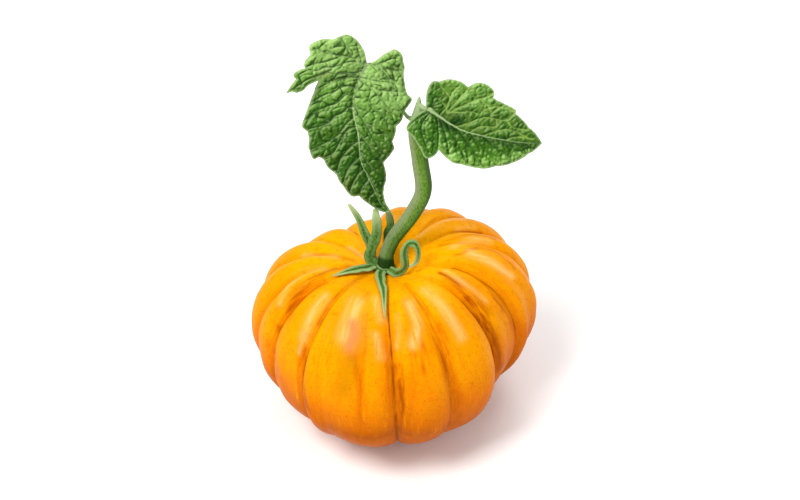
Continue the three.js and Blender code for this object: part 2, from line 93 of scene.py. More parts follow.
# Streaks on the skin: kind, strength, width in millimetres, and places as (azimuth, angle from
# the crown) in degrees. Pale streaks are painted highlights on the crests; brown, orange and
# groove streaks are painted shade in and beside the creases and low down, and groove streaks
# also dent the skin.
SKIN_STREAKS = (
    ("pale", 1, 3.2, ((250, 47), (250, 38), (250, 29))),
    ("pale", 0.8, 1.6, ((262, 24), (266, 30), (268, 36))),
    ("pale", 0.8, 1.6, ((265, 44), (267, 50), (268, 55))),
    ("pale", 0.9, 2, ((227, 58), (225, 46), (225, 34))),
    ("pale", 0.6, 1, ((228, 66), (228, 58))),
    ("pale", 0.7, 1.8, ((200, 54), (196, 45), (194, 35), (194, 25))),
    ("pale", 0.6, 1.4, ((170, 36), (175, 26), (173, 19))),
    ("pale", 0.6, 1.2, ((145, 18), (146, 10))),
    ("pale", 1, 1.9, ((290, 29), (290, 36), (290, 41), (284, 51))),
    ("pale", 0.9, 2, ((-50, 26), (-50, 36), (-50, 45), (-50, 52), (-50, 57))),
    ("pale", 0.6, 0.8, ((276, 51), (278, 43), (279, 34))),
    ("pale", 0.8, 1.2, ((-16, 28), (-20, 38), (-20, 47), (-19, 56))),
    ("pale", 1, 1.9, ((8, 33), (6, 41), (5, 50), (5, 59))),
    ("pale", 0.7, 1.3, ((14, 25), (22, 34), (23, 45))),
    ("pale", 0.6, 1, ((46, 16), (45, 24), (46, 34))),
    ("pale", 0.5, 0.9, ((35, 31), (37, 43))),
    ("pale", 0.5, 1.5, ((82, 27), (72, 22))),
    ("blush", 0.9, 2.6, ((252, 40), (254, 45), (253, 51))),
    ("orange", 0.8, 1.7, ((255, 53), (259, 66), (260, 82), (260, 98))),
    ("orange", 0.9, 2.6, ((300, 46), (299, 60), (298, 74), (301, 91))),
    ("orange", 0.7, 2.2, ((290, 43), (289, 55), (286, 65))),
    ("orange", 0.8, 3.5, ((-11, 61), (-10, 81), (-4, 94))),
    ("orange", 0.8, 2.6, ((211, 29), (207, 43), (211, 54))),
    ("orange", 0.7, 2.2, ((227, 56), (230, 71), (232, 87), (237, 95))),
    ("orange", 0.6, 3, ((206, 79), (217, 85), (221, 91))),
    ("orange", 0.6, 2.4, ((270, 49), (272, 65), (272, 86))),
    ("brown", 0.9, 2, ((275, 61), (276, 77), (275, 104))),
    ("brown", 0.9, 3, ((-26, 46), (-27, 66), (-26, 86), (-24, 98))),
    ("brown", 0.6, 1.4, ((298, 83), (300, 98), (305, 117))),
    ("brown", 0.7, 1.4, ((231, 62), (234, 77), (236, 94))),
    ("brown", 0.6, 1.4, ((207, 65), (213, 79), (215, 91))),
    ("brown", 0.7, 4.5, ((248, 104), (262, 104), (278, 104), (298, 110))),
    ("brown", 0.6, 1.2, ((218, 9), (231, 23), (231, 35), (232, 47))),
    ("brown", 0.6, 1.2, ((188, 13), (202, 28), (205, 45), (210, 62))),
    ("brown", 0.8, 1.2, ((-20, 26), (-24, 41), (-26, 57), (-26, 77))),
    ("brown", 0.7, 1, ((300, 15), (299, 31), (299, 44), (298, 59), (297, 79))),
    ("brown", 0.6, 0.9, ((-8, 29), (-9, 46), (-13, 69))),
    ("brown", 0.5, 0.9, ((20, 20), (26, 35), (26, 49))),
    ("brown", 0.5, 0.9, ((4, 27), (15, 40), (10, 58))),
    ("brown", 0.6, 0.8, ((30, 18), (33, 32), (33, 46))),
    ("brown", 0.5, 0.8, ((50, 18), (52, 34), (51, 50))),
    ("brown", 0.5, 0.8, ((66, 14), (67, 40))),
    ("brown", 0.5, 0.8, ((93, 14), (94, 34))),
    ("brown", 0.5, 0.8, ((147, 12), (148, 32))),
    ("brown", 0.5, 0.8, ((170, 12), (171, 38))),
    ("brown", 0.5, 3, ((-22, 36), (-23, 48), (-23, 62))),
    ("olive", 0.6, 4.5, ((254, 57), (254, 64), (253, 74))),
    ("groove", 0.8, 1.6, ((254, 19), (259, 40), (260, 56), (260, 77), (260, 98))),
    ("groove", 0.5, 0.8, ((293, 25), (295, 39), (296, 52), (296, 68))),
    ("groove", 0.5, 0.8, ((278, 25), (278, 42), (278, 58))),
    ("groove", 0.7, 1.4, ((288, 27), (284, 49), (281, 74), (280, 98))),
    ("groove", 0.5, 1.2, ((-3, 29), (-4, 44), (-6, 65), (-5, 85))),
    ("groove", 0.6, 1.2, ((200, 38), (203, 57), (206, 79))),
)

CROWN_ABOVE_FRUIT = 0.6
COLLAR_RADIUS = 4.6
COLLAR_TOP = 2.4
SURFACE_CLEARANCE = 0.75

# Sepals that lie on the fruit: azimuth, radius and half width from root to tip, lift at the tip.
LYING_SEPALS = (
    ((164, 198, 207, 209), (2.5, 8, 15, 24.4), (1.6, 2.2, 2.6, 2.6, 2.1, 1.2, 0.15), 0.4),
    ((245, 262, 270, 270.5), (2.5, 11, 22, 36.2), (2.1, 2.2, 2.0, 1.8, 1.5, 0.9, 0.15), 0.0),
)
# Sepals that stand free: points and half widths from root to tip, where the flat side faces, and
# how deep the furrow down that side is.
STANDING_SEPALS = (
    (((1.4, -3.0, 2.0), (4.9, -6.2, 2.5), (8.2, -6.3, 5.6), (7.9, -4.2, 11.6), (9.6, -3.0, 15.0),
      (12.2, -3.2, 15.2), (13.6, -4.6, 12.2), (12.9, -6.2, 8.2), (10.0, -7.2, 6.2)),
     (1.8, 2.1, 1.9, 1.8, 1.6, 1.5, 1.4, 1.2, 0.5), (0.5, -0.75, 0.45), 0.5),
    (((-2.8, 1.6, 1.3), (-5.4, 3.4, 3.0), (-5.8, 4.8, 7.2), (-8.0, 6.5, 12.4), (-11.0, 8.8, 19.6),
      (-15.0, 10.4, 25.6)), (1.5, 1.8, 2.1, 2.1, 2.0, 1.8, 1.3, 0.7), (-0.35, -0.8, 0.5), 0.4),
    (((-3.0, 0.6, 1.2), (-6.3, 1.6, 4.0), (-5.2, 3.0, 9.0), (-3.4, 5.6, 14.6), (-3.9, 10.8, 23.0)),
     (1.6, 2.3, 2.3, 2.2, 2.3, 2.3, 2.0, 1.1), (0.1, -0.8, 0.6), 0.2),
    (((0.9, 3.4, 1.1), (1.7, 7.0, 4.4), (1.1, 8.7, 10.0), (2.3, 10.6, 14.8), (0.6, 13.2, 22.4)),
     (1.4, 1.7, 1.9, 2.0, 2.0, 1.8, 1.5, 0.4), (0.2, -0.8, 0.6), 0.1),
)
SEPAL_HALF_THICKNESS = 0.6

STEM_PATH = (
    (0.4, 0.4, 1.6), (0.5, 0.7, 4.6), (1.3, 2.1, 7.8), (3.3, 3.8, 11.8), (7.8, 5.8, 17.7),
    (11.8, 7.6, 23.4), (14.8, 9.3, 28.7), (15.8, 11.1, 34.0), (14.5, 14.1, 43.4), (13.3, 16.4, 50.6),
    (12.8, 18.4, 56.6), (13.4, 19.9, 61.4), (14.0, 22.8, 70.1),
)
STEM_RADII = (3.6, 3.2, 3.0, 3.0, 3.15, 3.25, 3.3, 3.4, 3.35, 3.3, 3.2, 3.0, 0.3)

# Leaf blades, drawn flat in millimetres from the point where the stalk meets the blade:
# u to the right, v up. Left and right are as if the blade hung straight down.
LEFT_LEAF = {
    "base": (-6.6, 22.0, 85.2), "lean": 12.7, "bulge": 2.4, "curl": 3.2, "pucker": 0.7, "wave": 0.8,
    "arch": 3.0, "roof": 0.0, "seed": 3.0, "cell_size": 3.2, "vein_ways": ((-0.87, -0.5), (0.77, -0.64)),
    "vein_paleness": 0.4,
    "midrib": ((0, 0), (-3.7, -6.6), (-5.6, -13.5), (-5.6, -21), (-4.4, -30.5), (-3.2, -40), (0.4, -49),
               (5.3, -59.5), (9.5, -64.1)),
    "stations": (0, 0.05, 0.1, 0.17, 0.25, 0.36, 0.5, 0.64, 0.79, 1),
    "left": (((-0.7, 0.1), (-3, -1.6), (-6, -3.6)), ((-9, -5), (-12.5, -5.8)),
             ((-15, -5.6), (-17.6, -4.8)), ((-19.2, -5.6), (-20.3, -8.8)),
             ((-22.6, -14), (-24.6, -19.5), (-26.4, -26.2), (-24.3, -28.2)),
             ((-23.8, -31.5), (-24.1, -35), (-22, -40.2), (-20, -39.2)),
             ((-18.2, -40.2), (-16.4, -43.8), (-13, -46.9), (-12, -49.6)),
             ((-10.3, -52), (-6.8, -56.5), (-3.9, -56.3)),
             ((-2, -58.2), (1.5, -61), (5.5, -63.4), (9.5, -64.1))),
    "right": (((0.7, 0.6), (2.7, 1.5), (6.5, 4.6), (8.4, 5.8)), ((10.6, 6.9), (13.2, 5.3), (14, 2.4)),
              ((14.6, -0.8), (14.2, -3), (14.9, -9.4)), ((15.6, -11.8), (17.5, -14.2), (16.1, -17.4)),
              ((14.9, -19), (13.2, -23.6), (11.3, -26)), ((10.9, -29), (9.6, -32.7)),
              ((10.4, -35.2), (9.1, -37.8), (6, -41.8)), ((6.9, -45.5), (7.1, -49), (6.2, -52.5)),
              ((6.1, -55.6), (7, -59.6), (9.5, -64.1))),
}
LEFT_BASAL_LOBE = {
    "base": (-6.6, 20.8, 85.7), "lean": 12.7, "bulge": 2.0, "curl": -0.8, "pucker": 0.6, "wave": 0.6,
    "arch": 4.4, "roof": 0.0,
    "midrib": ((0, 0), (-6, 2.6), (-13, 3), (-20, 0.6), (-27, -5.4), (-32.9, -12.3)),
    "stations": (0, 0.22, 0.5, 0.66, 0.82, 1),
    "left": (((-0.2, 0.9), (-1.6, 6.5), (-4.7, 10.8), (-8, 12.5), (-13.4, 10.3)),
             ((-16.9, 10.5), (-20.3, 9.4), (-22.6, 7.6), (-22.3, 4.1)), ((-24.9, 0.4), (-24.6, -1.6)),
             ((-27.2, -2.4), (-29.4, -4.3), (-28.3, -5.9)), ((-30.4, -8.4), (-32.9, -12.3))),
    "right": (((-1.5, -3.6), (-5, -6.8), (-9, -8.0)), ((-13, -8.0), (-19.1, -6.6)),
              ((-21.6, -8.0), (-24, -9.8)), ((-25.7, -11.4), (-28, -12.3)),
              ((-29.8, -11.7), (-32.9, -12.3))),
}
RIGHT_LEAF = {
    "base": (17.4, 17.0, 67.5), "lean": 45, "bulge": 1.8, "curl": 0.6, "pucker": 0.6, "wave": 0.6,
    "arch": 2.2, "roof": 3.4, "seed": 23.0, "cell_size": 2.5, "vein_ways": ((0.6, -0.8), (0.88, 0.47)),
    "vein_paleness": 0.1,
    "midrib": ((0, 0), (5.3, -3.6), (10.5, -7.3), (16.4, -9.7), (22.4, -10.8), (34.2, -12.7),
               (45.7, -13.7)),
    "stations": (0, 0.12, 0.28, 0.5, 0.7, 0.86, 1),
    "left": (((-0.8, -0.2), (-3.6, -1.7), (-7.7, -5.6), (-8.6, -8.2), (-6.2, -10.9)),
             ((-3, -16.1), (-0.8, -19.9), (2.4, -19), (4.3, -16.5)),
             ((5.9, -18.3), (10.4, -21.7), (13.8, -22.4)), ((18, -23.4), (23.1, -23.9), (26.5, -23.1)),
             ((31, -22.5), (38.5, -19.3), (40, -17.9)), ((42.3, -16.8), (45.7, -13.7))),
    "right": (((-0.7, 2.0), (-0.6, 5.5), (0.6, 9.7), (2.2, 11.4), (4.6, 11.2)),
              ((8.2, 12.2), (12.9, 11.3), (16.1, 8.9)), ((19.3, 10.6), (23.3, 10.1), (26.5, 6.9), (26, 4.4)),
              ((28, 3.3), (32.3, 1.3), (35.2, -0.6), (34.9, -1.9)), ((38.6, -5.2), (40.1, -7.4)),
              ((42.4, -9.3), (45.7, -13.7))),
}
LEFT_STALK = ((12.6, 20.0, 60.3), (9.5, 21.4, 60.8), (8.0, 23.6, 61.4), (3.6, 26.8, 65.8),
              (-1.9, 27.0, 76.0), (-5.2, 24.6, 83.6))
LEFT_STALK_RADII = (1.3, 0.85, 0.75, 0.75, 0.85, 0.95, 0.8, 0.6, 0.45, 0.2)
RIGHT_STALK = ((14.2, 21.0, 66.6), (15.8, 18.9, 66.9))
RIGHT_STALK_RADII = (1.2, 1.05, 0.85, 0.55, 0.4, 0.2)
MIDRIB_STATIONS = (0.01, 0.12, 0.32, 0.62)
MIDRIB_DEPTH = 0.4
# How far the basal lobe's lower side is raised and its upper side lowered to lie on the blade, and
# how far the whole lobe stands out.
LOBE_SHIFT = 0.22
LOBE_OVERLAP = 0.25
LOBE_RISE = 1.3
FACING = (0.0, -0.79, 0.61)
BLADE_THICKNESS = 0.55
SAMPLES_PER_LOBE = 6
SAMPLE_ROWS = 8
SAMPLE_REACH = 1.6
OUTLINE_STEP = 0.35
BLADE_STEP = 0.34
FULL_RELIEF_WIDTH = 8.0
CELL_STRETCH = 1.5
CELL_HEIGHT = 0.68
CELL_WANDER = 0.5
PILLOW_REACH = 1.3
FIELD_HEIGHT = 0.45
FIELD_REACH = 1.9
ROUGH_HEIGHT = 0.3
FLAT_RIM = 1.6
MIDRIB_VALLEY_WIDTH = 1.3
MIDRIB_VALLEY_DEPTH = 0.55
MIDRIB_RIDGE = 0.28
VEIN_VALLEY_WIDTH = 0.45
VEIN_VALLEY_DEPTH = 0.3
NET_WIDTH = 0.3
# The side that the painted light on a blade's puckers comes from: right, up and out of the blade.
PAINTED_LIGHT_SIDE = (-0.62, 0.55, 0.56)
# The middle vein and the side veins of each blade, in the blade's flat millimetres.
LEFT_VEINS = (
    ((-0.3, -0.2), (-3.5, -6), (-5.8, -17.9), (-3.7, -31.2), (-3, -40.7), (1.4, -51.7), (5.4, -60.6),
     (8.7, -64.1)),
    ((1.3, 0.3), (4.1, 0), (9.2, 2.3), (12, 2.8)),
    ((2.5, 0), (5.6, -0.6), (8, -2), (14.3, -2)),
    ((2.1, -0.2), (5.2, -1.8), (7.6, -4.8), (11.6, -9.8), (12, -13.2)),
    ((-2.7, -5.2), (2.8, -6.9), (9.6, -7.7)),
    ((-3.1, -6.5), (2.4, -11.1), (9.6, -20), (12, -22.2)),
    ((1.6, -9.4), (4.8, -10.7), (11.6, -11.1)),
    ((-5.6, -16.6), (-0.9, -25.2), (3.9, -34.7), (6.3, -37.3)),
    ((-0.9, -25.2), (1.5, -26), (2.3, -29), (9.1, -29.5)),
    ((4, -20), (6.4, -22.2), (7.5, -24.7), (10, -25.6)),
    ((-4.1, -28.2), (0.3, -34.2), (1.9, -37.3), (5.9, -41.6)),
    ((-3, -37.3), (1.4, -43.8), (6.7, -48.6)),
    ((-1, -45.6), (2.6, -52.2), (3.8, -55.2), (6.2, -56.1)),
    ((-0.7, 0.7), (-7.4, 0.7), (-16.2, -3.5), (-23, -6.5), (-31, -11.5)),
    ((-3.1, 0.7), (-6.2, 2.8), (-13.3, 3.8), (-20.8, 6.1)),
    ((-9.8, 3.2), (-17.3, 0.3), (-20.9, -0.2), (-24.1, -1.4)),
    ((-6.2, 2.8), (-10.1, 10.6)),
    ((-2.3, 1.1), (-4.2, 8.2)),
    ((-13.3, 3.8), (-18, 9.4)),
    ((-13, -1.8), (-16.6, -1.8), (-19.7, -3.1), (-23.3, -2.9), (-26.9, -4.4)),
    ((-1.5, -2.3), (-4.7, -3.5), (-11.8, -3.9), (-13.8, -6.5), (-16.6, -7.3)),
    ((-3.5, -5.6), (-10.7, -5.6), (-19.5, -9.8)),
    ((-4.7, -9.8), (-7.9, -9.2), (-10.7, -9.8), (-13.5, -11.9), (-17.1, -12.8), (-23.6, -16.6)),
    ((-5.6, -14.5), (-8.4, -12.8), (-12, -16.2), (-18.4, -18.7), (-25.3, -23.4)),
    ((-6, -17.9), (-8, -18.3), (-10.4, -20.9), (-13.3, -22.2), (-16.1, -25.2), (-24.2, -27.3)),
    ((-13.3, -22.2), (-14.9, -24.3), (-17.3, -23), (-20.1, -22.6)),
    ((-5.7, -22.6), (-8.1, -24.7), (-13, -30.8), (-23.5, -36.4)),
    ((-4.5, -26.4), (-8.1, -27.7), (-13.9, -37.7), (-17.5, -39.4)),
    ((-10.6, -31.2), (-7.8, -33.4), (-4.6, -32.9)),
    ((-3.7, -32.5), (-6.6, -34.7), (-11.1, -40.7), (-12.8, -46.4)),
    ((-3, -39), (-7.9, -44.7), (-10.4, -51.3)),
    ((-1.8, -44.7), (-4.3, -47.3), (-7.2, -53.9), (-6.8, -56.1)),
    ((0.2, -49.1), (-3.1, -54.4), (-2.7, -56.6)),
    ((2.6, -54.8), (0.5, -57), (-0.3, -59.2)),
)
RIGHT_VEINS = (
    ((0.8, 0.1), (9.5, -6.4), (16.7, -9.7), (38.6, -13.7), (45, -13.7)),
    ((2.4, -1.1), (2, 2.1), (3.2, 4.6), (7.2, 0.5), (7.5, -1.5)),
    ((4.7, -2.5), (7.2, 0.5), (10, 7), (12.4, 9.1)),
    ((8.8, 4.6), (4.8, 9.5)),
    ((7.9, -1.1), (16.4, 8.5)),
    ((7.9, -1.9), (19.2, 3.6), (23.6, 4.8), (26, 6.2)),
    ((20.8, 3.8), (23.6, 1.3), (24.7, -1.1)),
    ((7.5, -1.1), (12.7, -1.5), (17.1, -1.1), (20.7, -2.3), (22.3, -0.7), (26.8, 0.9), (30.7, 0.5),
     (33.9, -1.1)),
    ((24.7, -2.8), (27.1, -0.3), (30, 1.3)),
    ((10.7, -7.2), (15.1, -6.2), (22.7, -3.6), (31.5, -4.8), (33.5, -2.8), (35.5, -1.5)),
    ((16.7, -9.3), (20.7, -7.2), (27.1, -7.2), (27.1, -4.8)),
    ((21.5, -10.7), (31.5, -8.4), (39.4, -11.3)),
    ((31.5, -4.8), (33.1, -7.2), (39.9, -8.8)),
    ((30.7, -12.5), (34.7, -11.3), (41.8, -12.1)),
    ((3.6, -1.9), (4.3, -12.5), (3.9, -15.3)),
    ((1.2, -1.1), (-2.5, -7.2), (0.3, -17.4)),
    ((0, -1.5), (-5.2, -4.8), (-7.6, -7.2)),
    ((4.7, -3.6), (7.1, -10.9), (8.3, -18.2)),
    ((7.9, -5.2), (8.7, -8.8), (12.7, -15.3), (15.5, -21.8)),
    ((11.9, -8), (21.4, -21.8)),
    ((16.7, -9.7), (19.5, -13.3), (28.2, -21.4)),
    ((22.3, -11.1), (28.6, -17), (32.6, -19.4)),
    ((28.7, -12.5), (31.8, -14.9), (38.2, -17.8)),
    ((34.6, -13.3), (37.4, -14.9), (41, -15.9)),
)

# How strongly the surfaces mirror the lights, and how fine the skin's brush strokes are, two ways
# around and down.
SKIN_SHINE = 0.015
LEAF_SHINE = 0.05
STEM_SHINE = 0.06
STROKE_SCALE = (26, 26, 9)

# Camera, fitted to the photograph's 800 x 500 frame.
CAMERA_AT = (2.8, -656.1, 582.0)
CAMERA_ELEVATION = 37.5
CAMERA_LENS = 90
SENSOR_WIDTH = 36
# Lights: name, place, height of the spot it is aimed at and side in metres, and colour.
LIGHTS = (
    ("key", (-0.66, -0.5, 1.2), 0.05, 0.6, (1.0, 0.99, 0.97)),
    ("fill", (0.8, -0.9, 0.7), 0.05, 0.9, (1.0, 1.0, 1.0)),
    ("back", (0.35, 0.8, 0.9), 0.08, 0.6, (1.0, 1.0, 1.0)),
)


def smooth(x, low, high):
    """Eases from 0 at low to 1 at high."""
    t = np.clip((x - low) / (high - low), 0, 1)
    return t * t * (3 - 2 * t)


def eased(angle, limits):
    """Eases from 0 to 1 between two angles from the crown, given in degrees."""
    return smooth(angle, *np.radians(limits))


def bell(distance, width):
    """1 on a line, falling to nothing a few widths away from it."""
    return np.exp(-((distance / width) ** 2))


def rough_field(points):
    """Smooth noise at a list of points."""
    return np.array([noise.noise(Vector(point)) for point in points])


def lobe_at(azimuth):
    """How far across its lobe an azimuth lies, the crease depth there and the plan radius."""
    start, crease, radius = np.array(LOBES + ((LOBES[0][0] + 360,) + LOBES[0][1:],)).T
    a = (azimuth - start[0]) % 360 + start[0]
    i = np.clip(np.searchsorted(start, a + 1e-9, side="right") - 1, 0, len(LOBES) - 1)
    across = (a - start[i]) / (start[i + 1] - start[i])
    depth = crease[i] * (1 - across) + crease[i + 1] * across
    centre = (start[:-1] + start[1:]) / 2
    centre = np.concatenate([[centre[-1] - 360], centre, [centre[0] + 360]])
    wide = np.concatenate([[radius[-2]], radius[:-1], [radius[0]]])
    k = np.clip(np.searchsorted(centre, a, side="right") - 1, 0, len(LOBES))
    blend = smooth(a, centre[k], centre[k + 1])
    return across, depth, wide[k] * (1 - blend) + wide[k + 1] * blend


def profile(angle, radius):
    """The smooth body under the ribs, from the crown (angle 0) to the blossom end (pi)."""
    s, c = np.sin(angle), np.cos(angle)
    power = 2 / SQUARENESS
    r = radius * np.abs(s) ** power
    half = np.where(c > 0, TOP_HEIGHT, BOTTOM_HEIGHT)
    hollow = np.where(c > 0, HOLLOW_DEPTH * bell(r, HOLLOW_WIDTH), 0)
    return r, BOTTOM_HEIGHT + half * np.sign(c) * np.abs(c) ** power - hollow


def fruit_point(azimuth, angle, height=0.0):
    """Points of the skin in millimetres, or of a skin raised by a height."""
    azimuth, angle = np.atleast_1d(azimuth).astype(float), np.atleast_1d(angle).astype(float)
    across, depth, radius = lobe_at(azimuth)
    step = 1e-3
    r, z = profile(angle, radius)
    r_up, z_up = profile(np.maximum(angle - step, 0), radius)
    r_down, z_down = profile(np.minimum(angle + step, np.pi), radius)
    length = np.hypot(r_down - r_up, z_down - z_up)
    normal_r, normal_z = -(z_down - z_up) / length, (r_down - r_up) / length
    full = np.maximum(np.sin(np.pi * np.clip(across, 0, 1)), 0) ** CREASE_POWER
    fade = eased(angle, CREASE_RISE) * (1 - eased(angle, CREASE_FADE))
    out = (full - 1) * depth * fade + height
    r = np.maximum(r + normal_r * out, 0)
    z = np.maximum(z + normal_z * out, RESTING_CUT) - RESTING_CUT
    phi = np.radians(azimuth)
    return np.stack([r * np.cos(phi) + LEAN_X * z, r * np.sin(phi) + LEAN_Y * z, z], axis=-1)


def angle_at_radius(azimuth, radius):
    """The angle from the crown where the fruit has a given radius."""
    low, high = 0.0, math.pi / 2
    for _ in range(30):
        middle = (low + high) / 2
        x, y, z = fruit_point(azimuth, middle)[0]
        if math.hypot(x - LEAN_X * z, y - LEAN_Y * z) < radius:
            low = middle
        else:
            high = middle
    return (low + high) / 2


CROWN = fruit_point(0, 0, CROWN_ABOVE_FRUIT)[0]


def streaks(kind, azimuth, angle):
    """How strongly the streaks of one kind show at each place of the skin, from 0 to 1."""
    total = np.zeros(len(azimuth))
    for name, strength, width, places in SKIN_STREAKS:
        if name != kind:
            continue
        line = np.array(places, float)
        middle = line[:, 0].mean()

        def flat(turn, down):
            aside = (turn - middle + 180) % 360 - 180
            return np.stack([aside * STREAK_AROUND * np.sin(np.radians(down)), down * STREAK_DOWN], axis=1)

        line = flat(line[:, 0], line[:, 1])
        near = np.abs((azimuth - middle + 180) % 360 - 180) < STREAK_REACH
        points = flat(azimuth[near], angle[near])
        distance, _ = line_distance(points, curve_points(line, np.linspace(0, 1, 10)))
        total[near] = np.maximum(total[near], strength * bell(distance, width))
    return total


def curve_points(points, places):
    """Points of a smooth curve through a list, at places from 0 to 1 spread over its spans."""
    p = np.asarray(points, float)
    padded = np.vstack([2 * p[0] - p[1], p, 2 * p[-1] - p[-2]])
    spot = np.clip(places, 0, 1) * (len(p) - 1)
    i = np.minimum(spot.astype(int), len(p) - 2)
    w = (spot - i)[:, None]
    p0, p1, p2, p3 = (padded[i + k] for k in range(4))
    d0, d1, d2 = (np.sqrt(np.linalg.norm(b - a, axis=1))[:, None] for a, b in ((p0, p1), (p1, p2), (p2, p3)))
    t1 = ((p1 - p0) / d0 - (p2 - p0) / (d0 + d1) + (p2 - p1) / d1) * d1
    t2 = ((p2 - p1) / d1 - (p3 - p1) / (d1 + d2) + (p3 - p2) / d2) * d1
    return p1 + t1 * w + (3 * (p2 - p1) - 2 * t1 - t2) * w**2 + (2 * (p1 - p2) + t1 + t2) * w**3


def even_points(points, places):
    """Points of the same curve, at even steps of its length."""
    fine = curve_points(points, np.linspace(0, 1, 240))
    length = np.concatenate([[0], np.cumsum(np.linalg.norm(np.diff(fine, axis=0), axis=1))])
    goal = np.asarray(places) * length[-1]
    return np.stack([np.interp(goal, length, fine[:, k]) for k in range(fine.shape[1])], axis=1)


def deselect():
    bpy.ops.object.select_all(action="DESELECT")


def added(operator, **settings):
    """Adds an object with one of Blender's own operators."""
    deselect()
    operator(**settings)
    return bpy.context.object


def read_points(piece, kind="co"):
    points = np.empty(len(piece.data.vertices) * 3)
    piece.data.vertices.foreach_get(kind, points)
    return points.reshape(-1, 3)


def write_points(piece, points):
    """Gives a piece its vertices in millimetres, in the object's own frame."""
    piece.data.vertices.foreach_set("co", (np.asarray(points) * MM).ravel())
    piece.data.update()


def write_values(piece, **values):
    """Gives each vertex of a piece values that its material reads by their names."""
    for name, numbers in values.items():
        attribute = piece.data.attributes.new(name, "FLOAT", "POINT")
        attribute.data.foreach_set("value", np.asarray(numbers, dtype=np.float32))


def select_only(pieces):
    deselect()
    for piece in pieces:
        piece.select_set(True)
    bpy.context.view_layer.objects.active = pieces[0]


def join(pieces):
    """Joins pieces into the first one."""
    select_only(pieces)
    bpy.ops.object.join()
    return pieces[0]


def finish_piece(piece, name, node):
    """Names a finished piece, smooths it, hangs it on the root and hides the CAD node it stands for."""
    piece.name = name
    piece.data.name = name
    select_only([piece])
    bpy.ops.object.shade_smooth()
    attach(piece, "root")
    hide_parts(node)
    return piece


def rod(path, segments, rings, width, thickness, facing=(0.3, -1, 0.2), shape=None, round_end=0.02):
    """A closed rod along a smooth path: a sphere's rings moved onto it.

    width and thickness give the half sizes at places from 0 to 1. shape may move the section."""
    piece = added(bpy.ops.mesh.primitive_uv_sphere_add, segments=segments, ring_count=rings, radius=1)
    unit = read_points(piece)
    place = np.arccos(np.clip(-unit[:, 2], -1, 1)) / np.pi
    ring = np.hypot(unit[:, 0], unit[:, 1])
    safe = np.maximum(ring, 1e-9)
    x = np.where(ring > 1e-6, unit[:, 0] / safe, 0)
    y = np.where(ring > 1e-6, unit[:, 1] / safe, 0)
    near_end = np.minimum(place, 1 - place) / round_end
    cap = np.sqrt(np.clip(1 - (1 - np.clip(near_end, 0, 1)) ** 2, 0, 1))
    centre = curve_points(path, place)
    step = 1e-3
    tangent = curve_points(path, np.minimum(place + step, 1))
    tangent = tangent - curve_points(path, np.maximum(place - step, 0))
    tangent /= np.linalg.norm(tangent, axis=1)[:, None]
    across = np.cross(tangent, np.array(facing, float))
    across /= np.linalg.norm(across, axis=1)[:, None]
    back = np.cross(tangent, across)
    section_x, section_y = x * width(place) * cap, y * thickness(place) * cap
    if shape:
        section_x, section_y = shape(place, x, y, section_x, section_y)
    points = centre + across * section_x[:, None] + back * section_y[:, None]
    write_points(piece, points + CROWN)
    write_values(piece, along=place, side=x)
    return piece


def along(values):
    """Reads a list of values, spread evenly from 0 to 1."""
    places = np.linspace(0, 1, len(values))
    return lambda t: np.interp(t, places, values)


class Finish:
    """A material whose colour is laid on in layers, one over the other."""

    def __init__(self, name, base, roughness, shine=0.5):
        self.material = bpy.data.materials.new(name)
        self.material.use_nodes = True
        self.tree = self.material.node_tree
        self.tree.nodes.clear()
        self.shader = self.node("ShaderNodeBsdfPrincipled",
                                {"Roughness": roughness, "Specular IOR Level": shine})
        self.node("ShaderNodeOutputMaterial", {"Surface": self.shader.outputs["BSDF"]})
        self.colour = (*base, 1.0)

    def node(self, kind, inputs, **settings):
        """Adds a node. An input may be a value or another node's output socket."""
        made = self.tree.nodes.new(kind)
        for key, value in settings.items():
            setattr(made, key, value)
        for key, value in inputs.items():
            if isinstance(value, bpy.types.NodeSocket):
                self.tree.links.new(value, made.inputs[key])
            else:
                made.inputs[key].default_value = value
        return made

    def value(self, name):
        """Reads one of the values that the piece's vertices carry."""
        return self.node("ShaderNodeAttribute", {}, attribute_name=name).outputs["Fac"]

    def times(self, a, b):
        return self.node("ShaderNodeMath", {0: a, 1: b}, operation="MULTIPLY").outputs[0]

    def share(self, value, low, high, most=1.0, least=0.0):
        """Eases a value between two limits into a share from least to most."""
        inputs = {"Value": value, "From Min": low, "From Max": high, "To Min": least, "To Max": most}
        return self.node("ShaderNodeMapRange", inputs, interpolation_type="SMOOTHSTEP").outputs["Result"]

    def grain(self, scale, detail, roughness=0.55, stretch=(1, 1, 1), place=None):
        """Noise fixed to the object, or to a place given on the piece's surface."""
        place = place or self.node("ShaderNodeTexCoord", {}).outputs["Object"]
        place = self.node("ShaderNodeMapping", {"Vector": place, "Scale": stretch}).outputs["Vector"]
        inputs = {"Vector": place, "Scale": scale, "Detail": detail, "Roughness": roughness}
        return self.node("ShaderNodeTexNoise", inputs).outputs["Fac"]

    def layer(self, share, colour):
        inputs = {0: share, 6: self.colour, 7: (*colour, 1.0)}
        self.colour = self.node("ShaderNodeMix", inputs, data_type="RGBA").outputs[2]

    def finish(self, height=None, strength=0.0, distance=0.0):
        """Puts the colour and a fine relief, if there is one, on the shader."""
        self.tree.links.new(self.colour, self.shader.inputs["Base Color"])
        if height:
            inputs = {"Height": height, "Strength": strength, "Distance": distance}
            relief = self.node("ShaderNodeBump", inputs)
            self.tree.links.new(relief.outputs["Normal"], self.shader.inputs["Normal"])
        return self.material


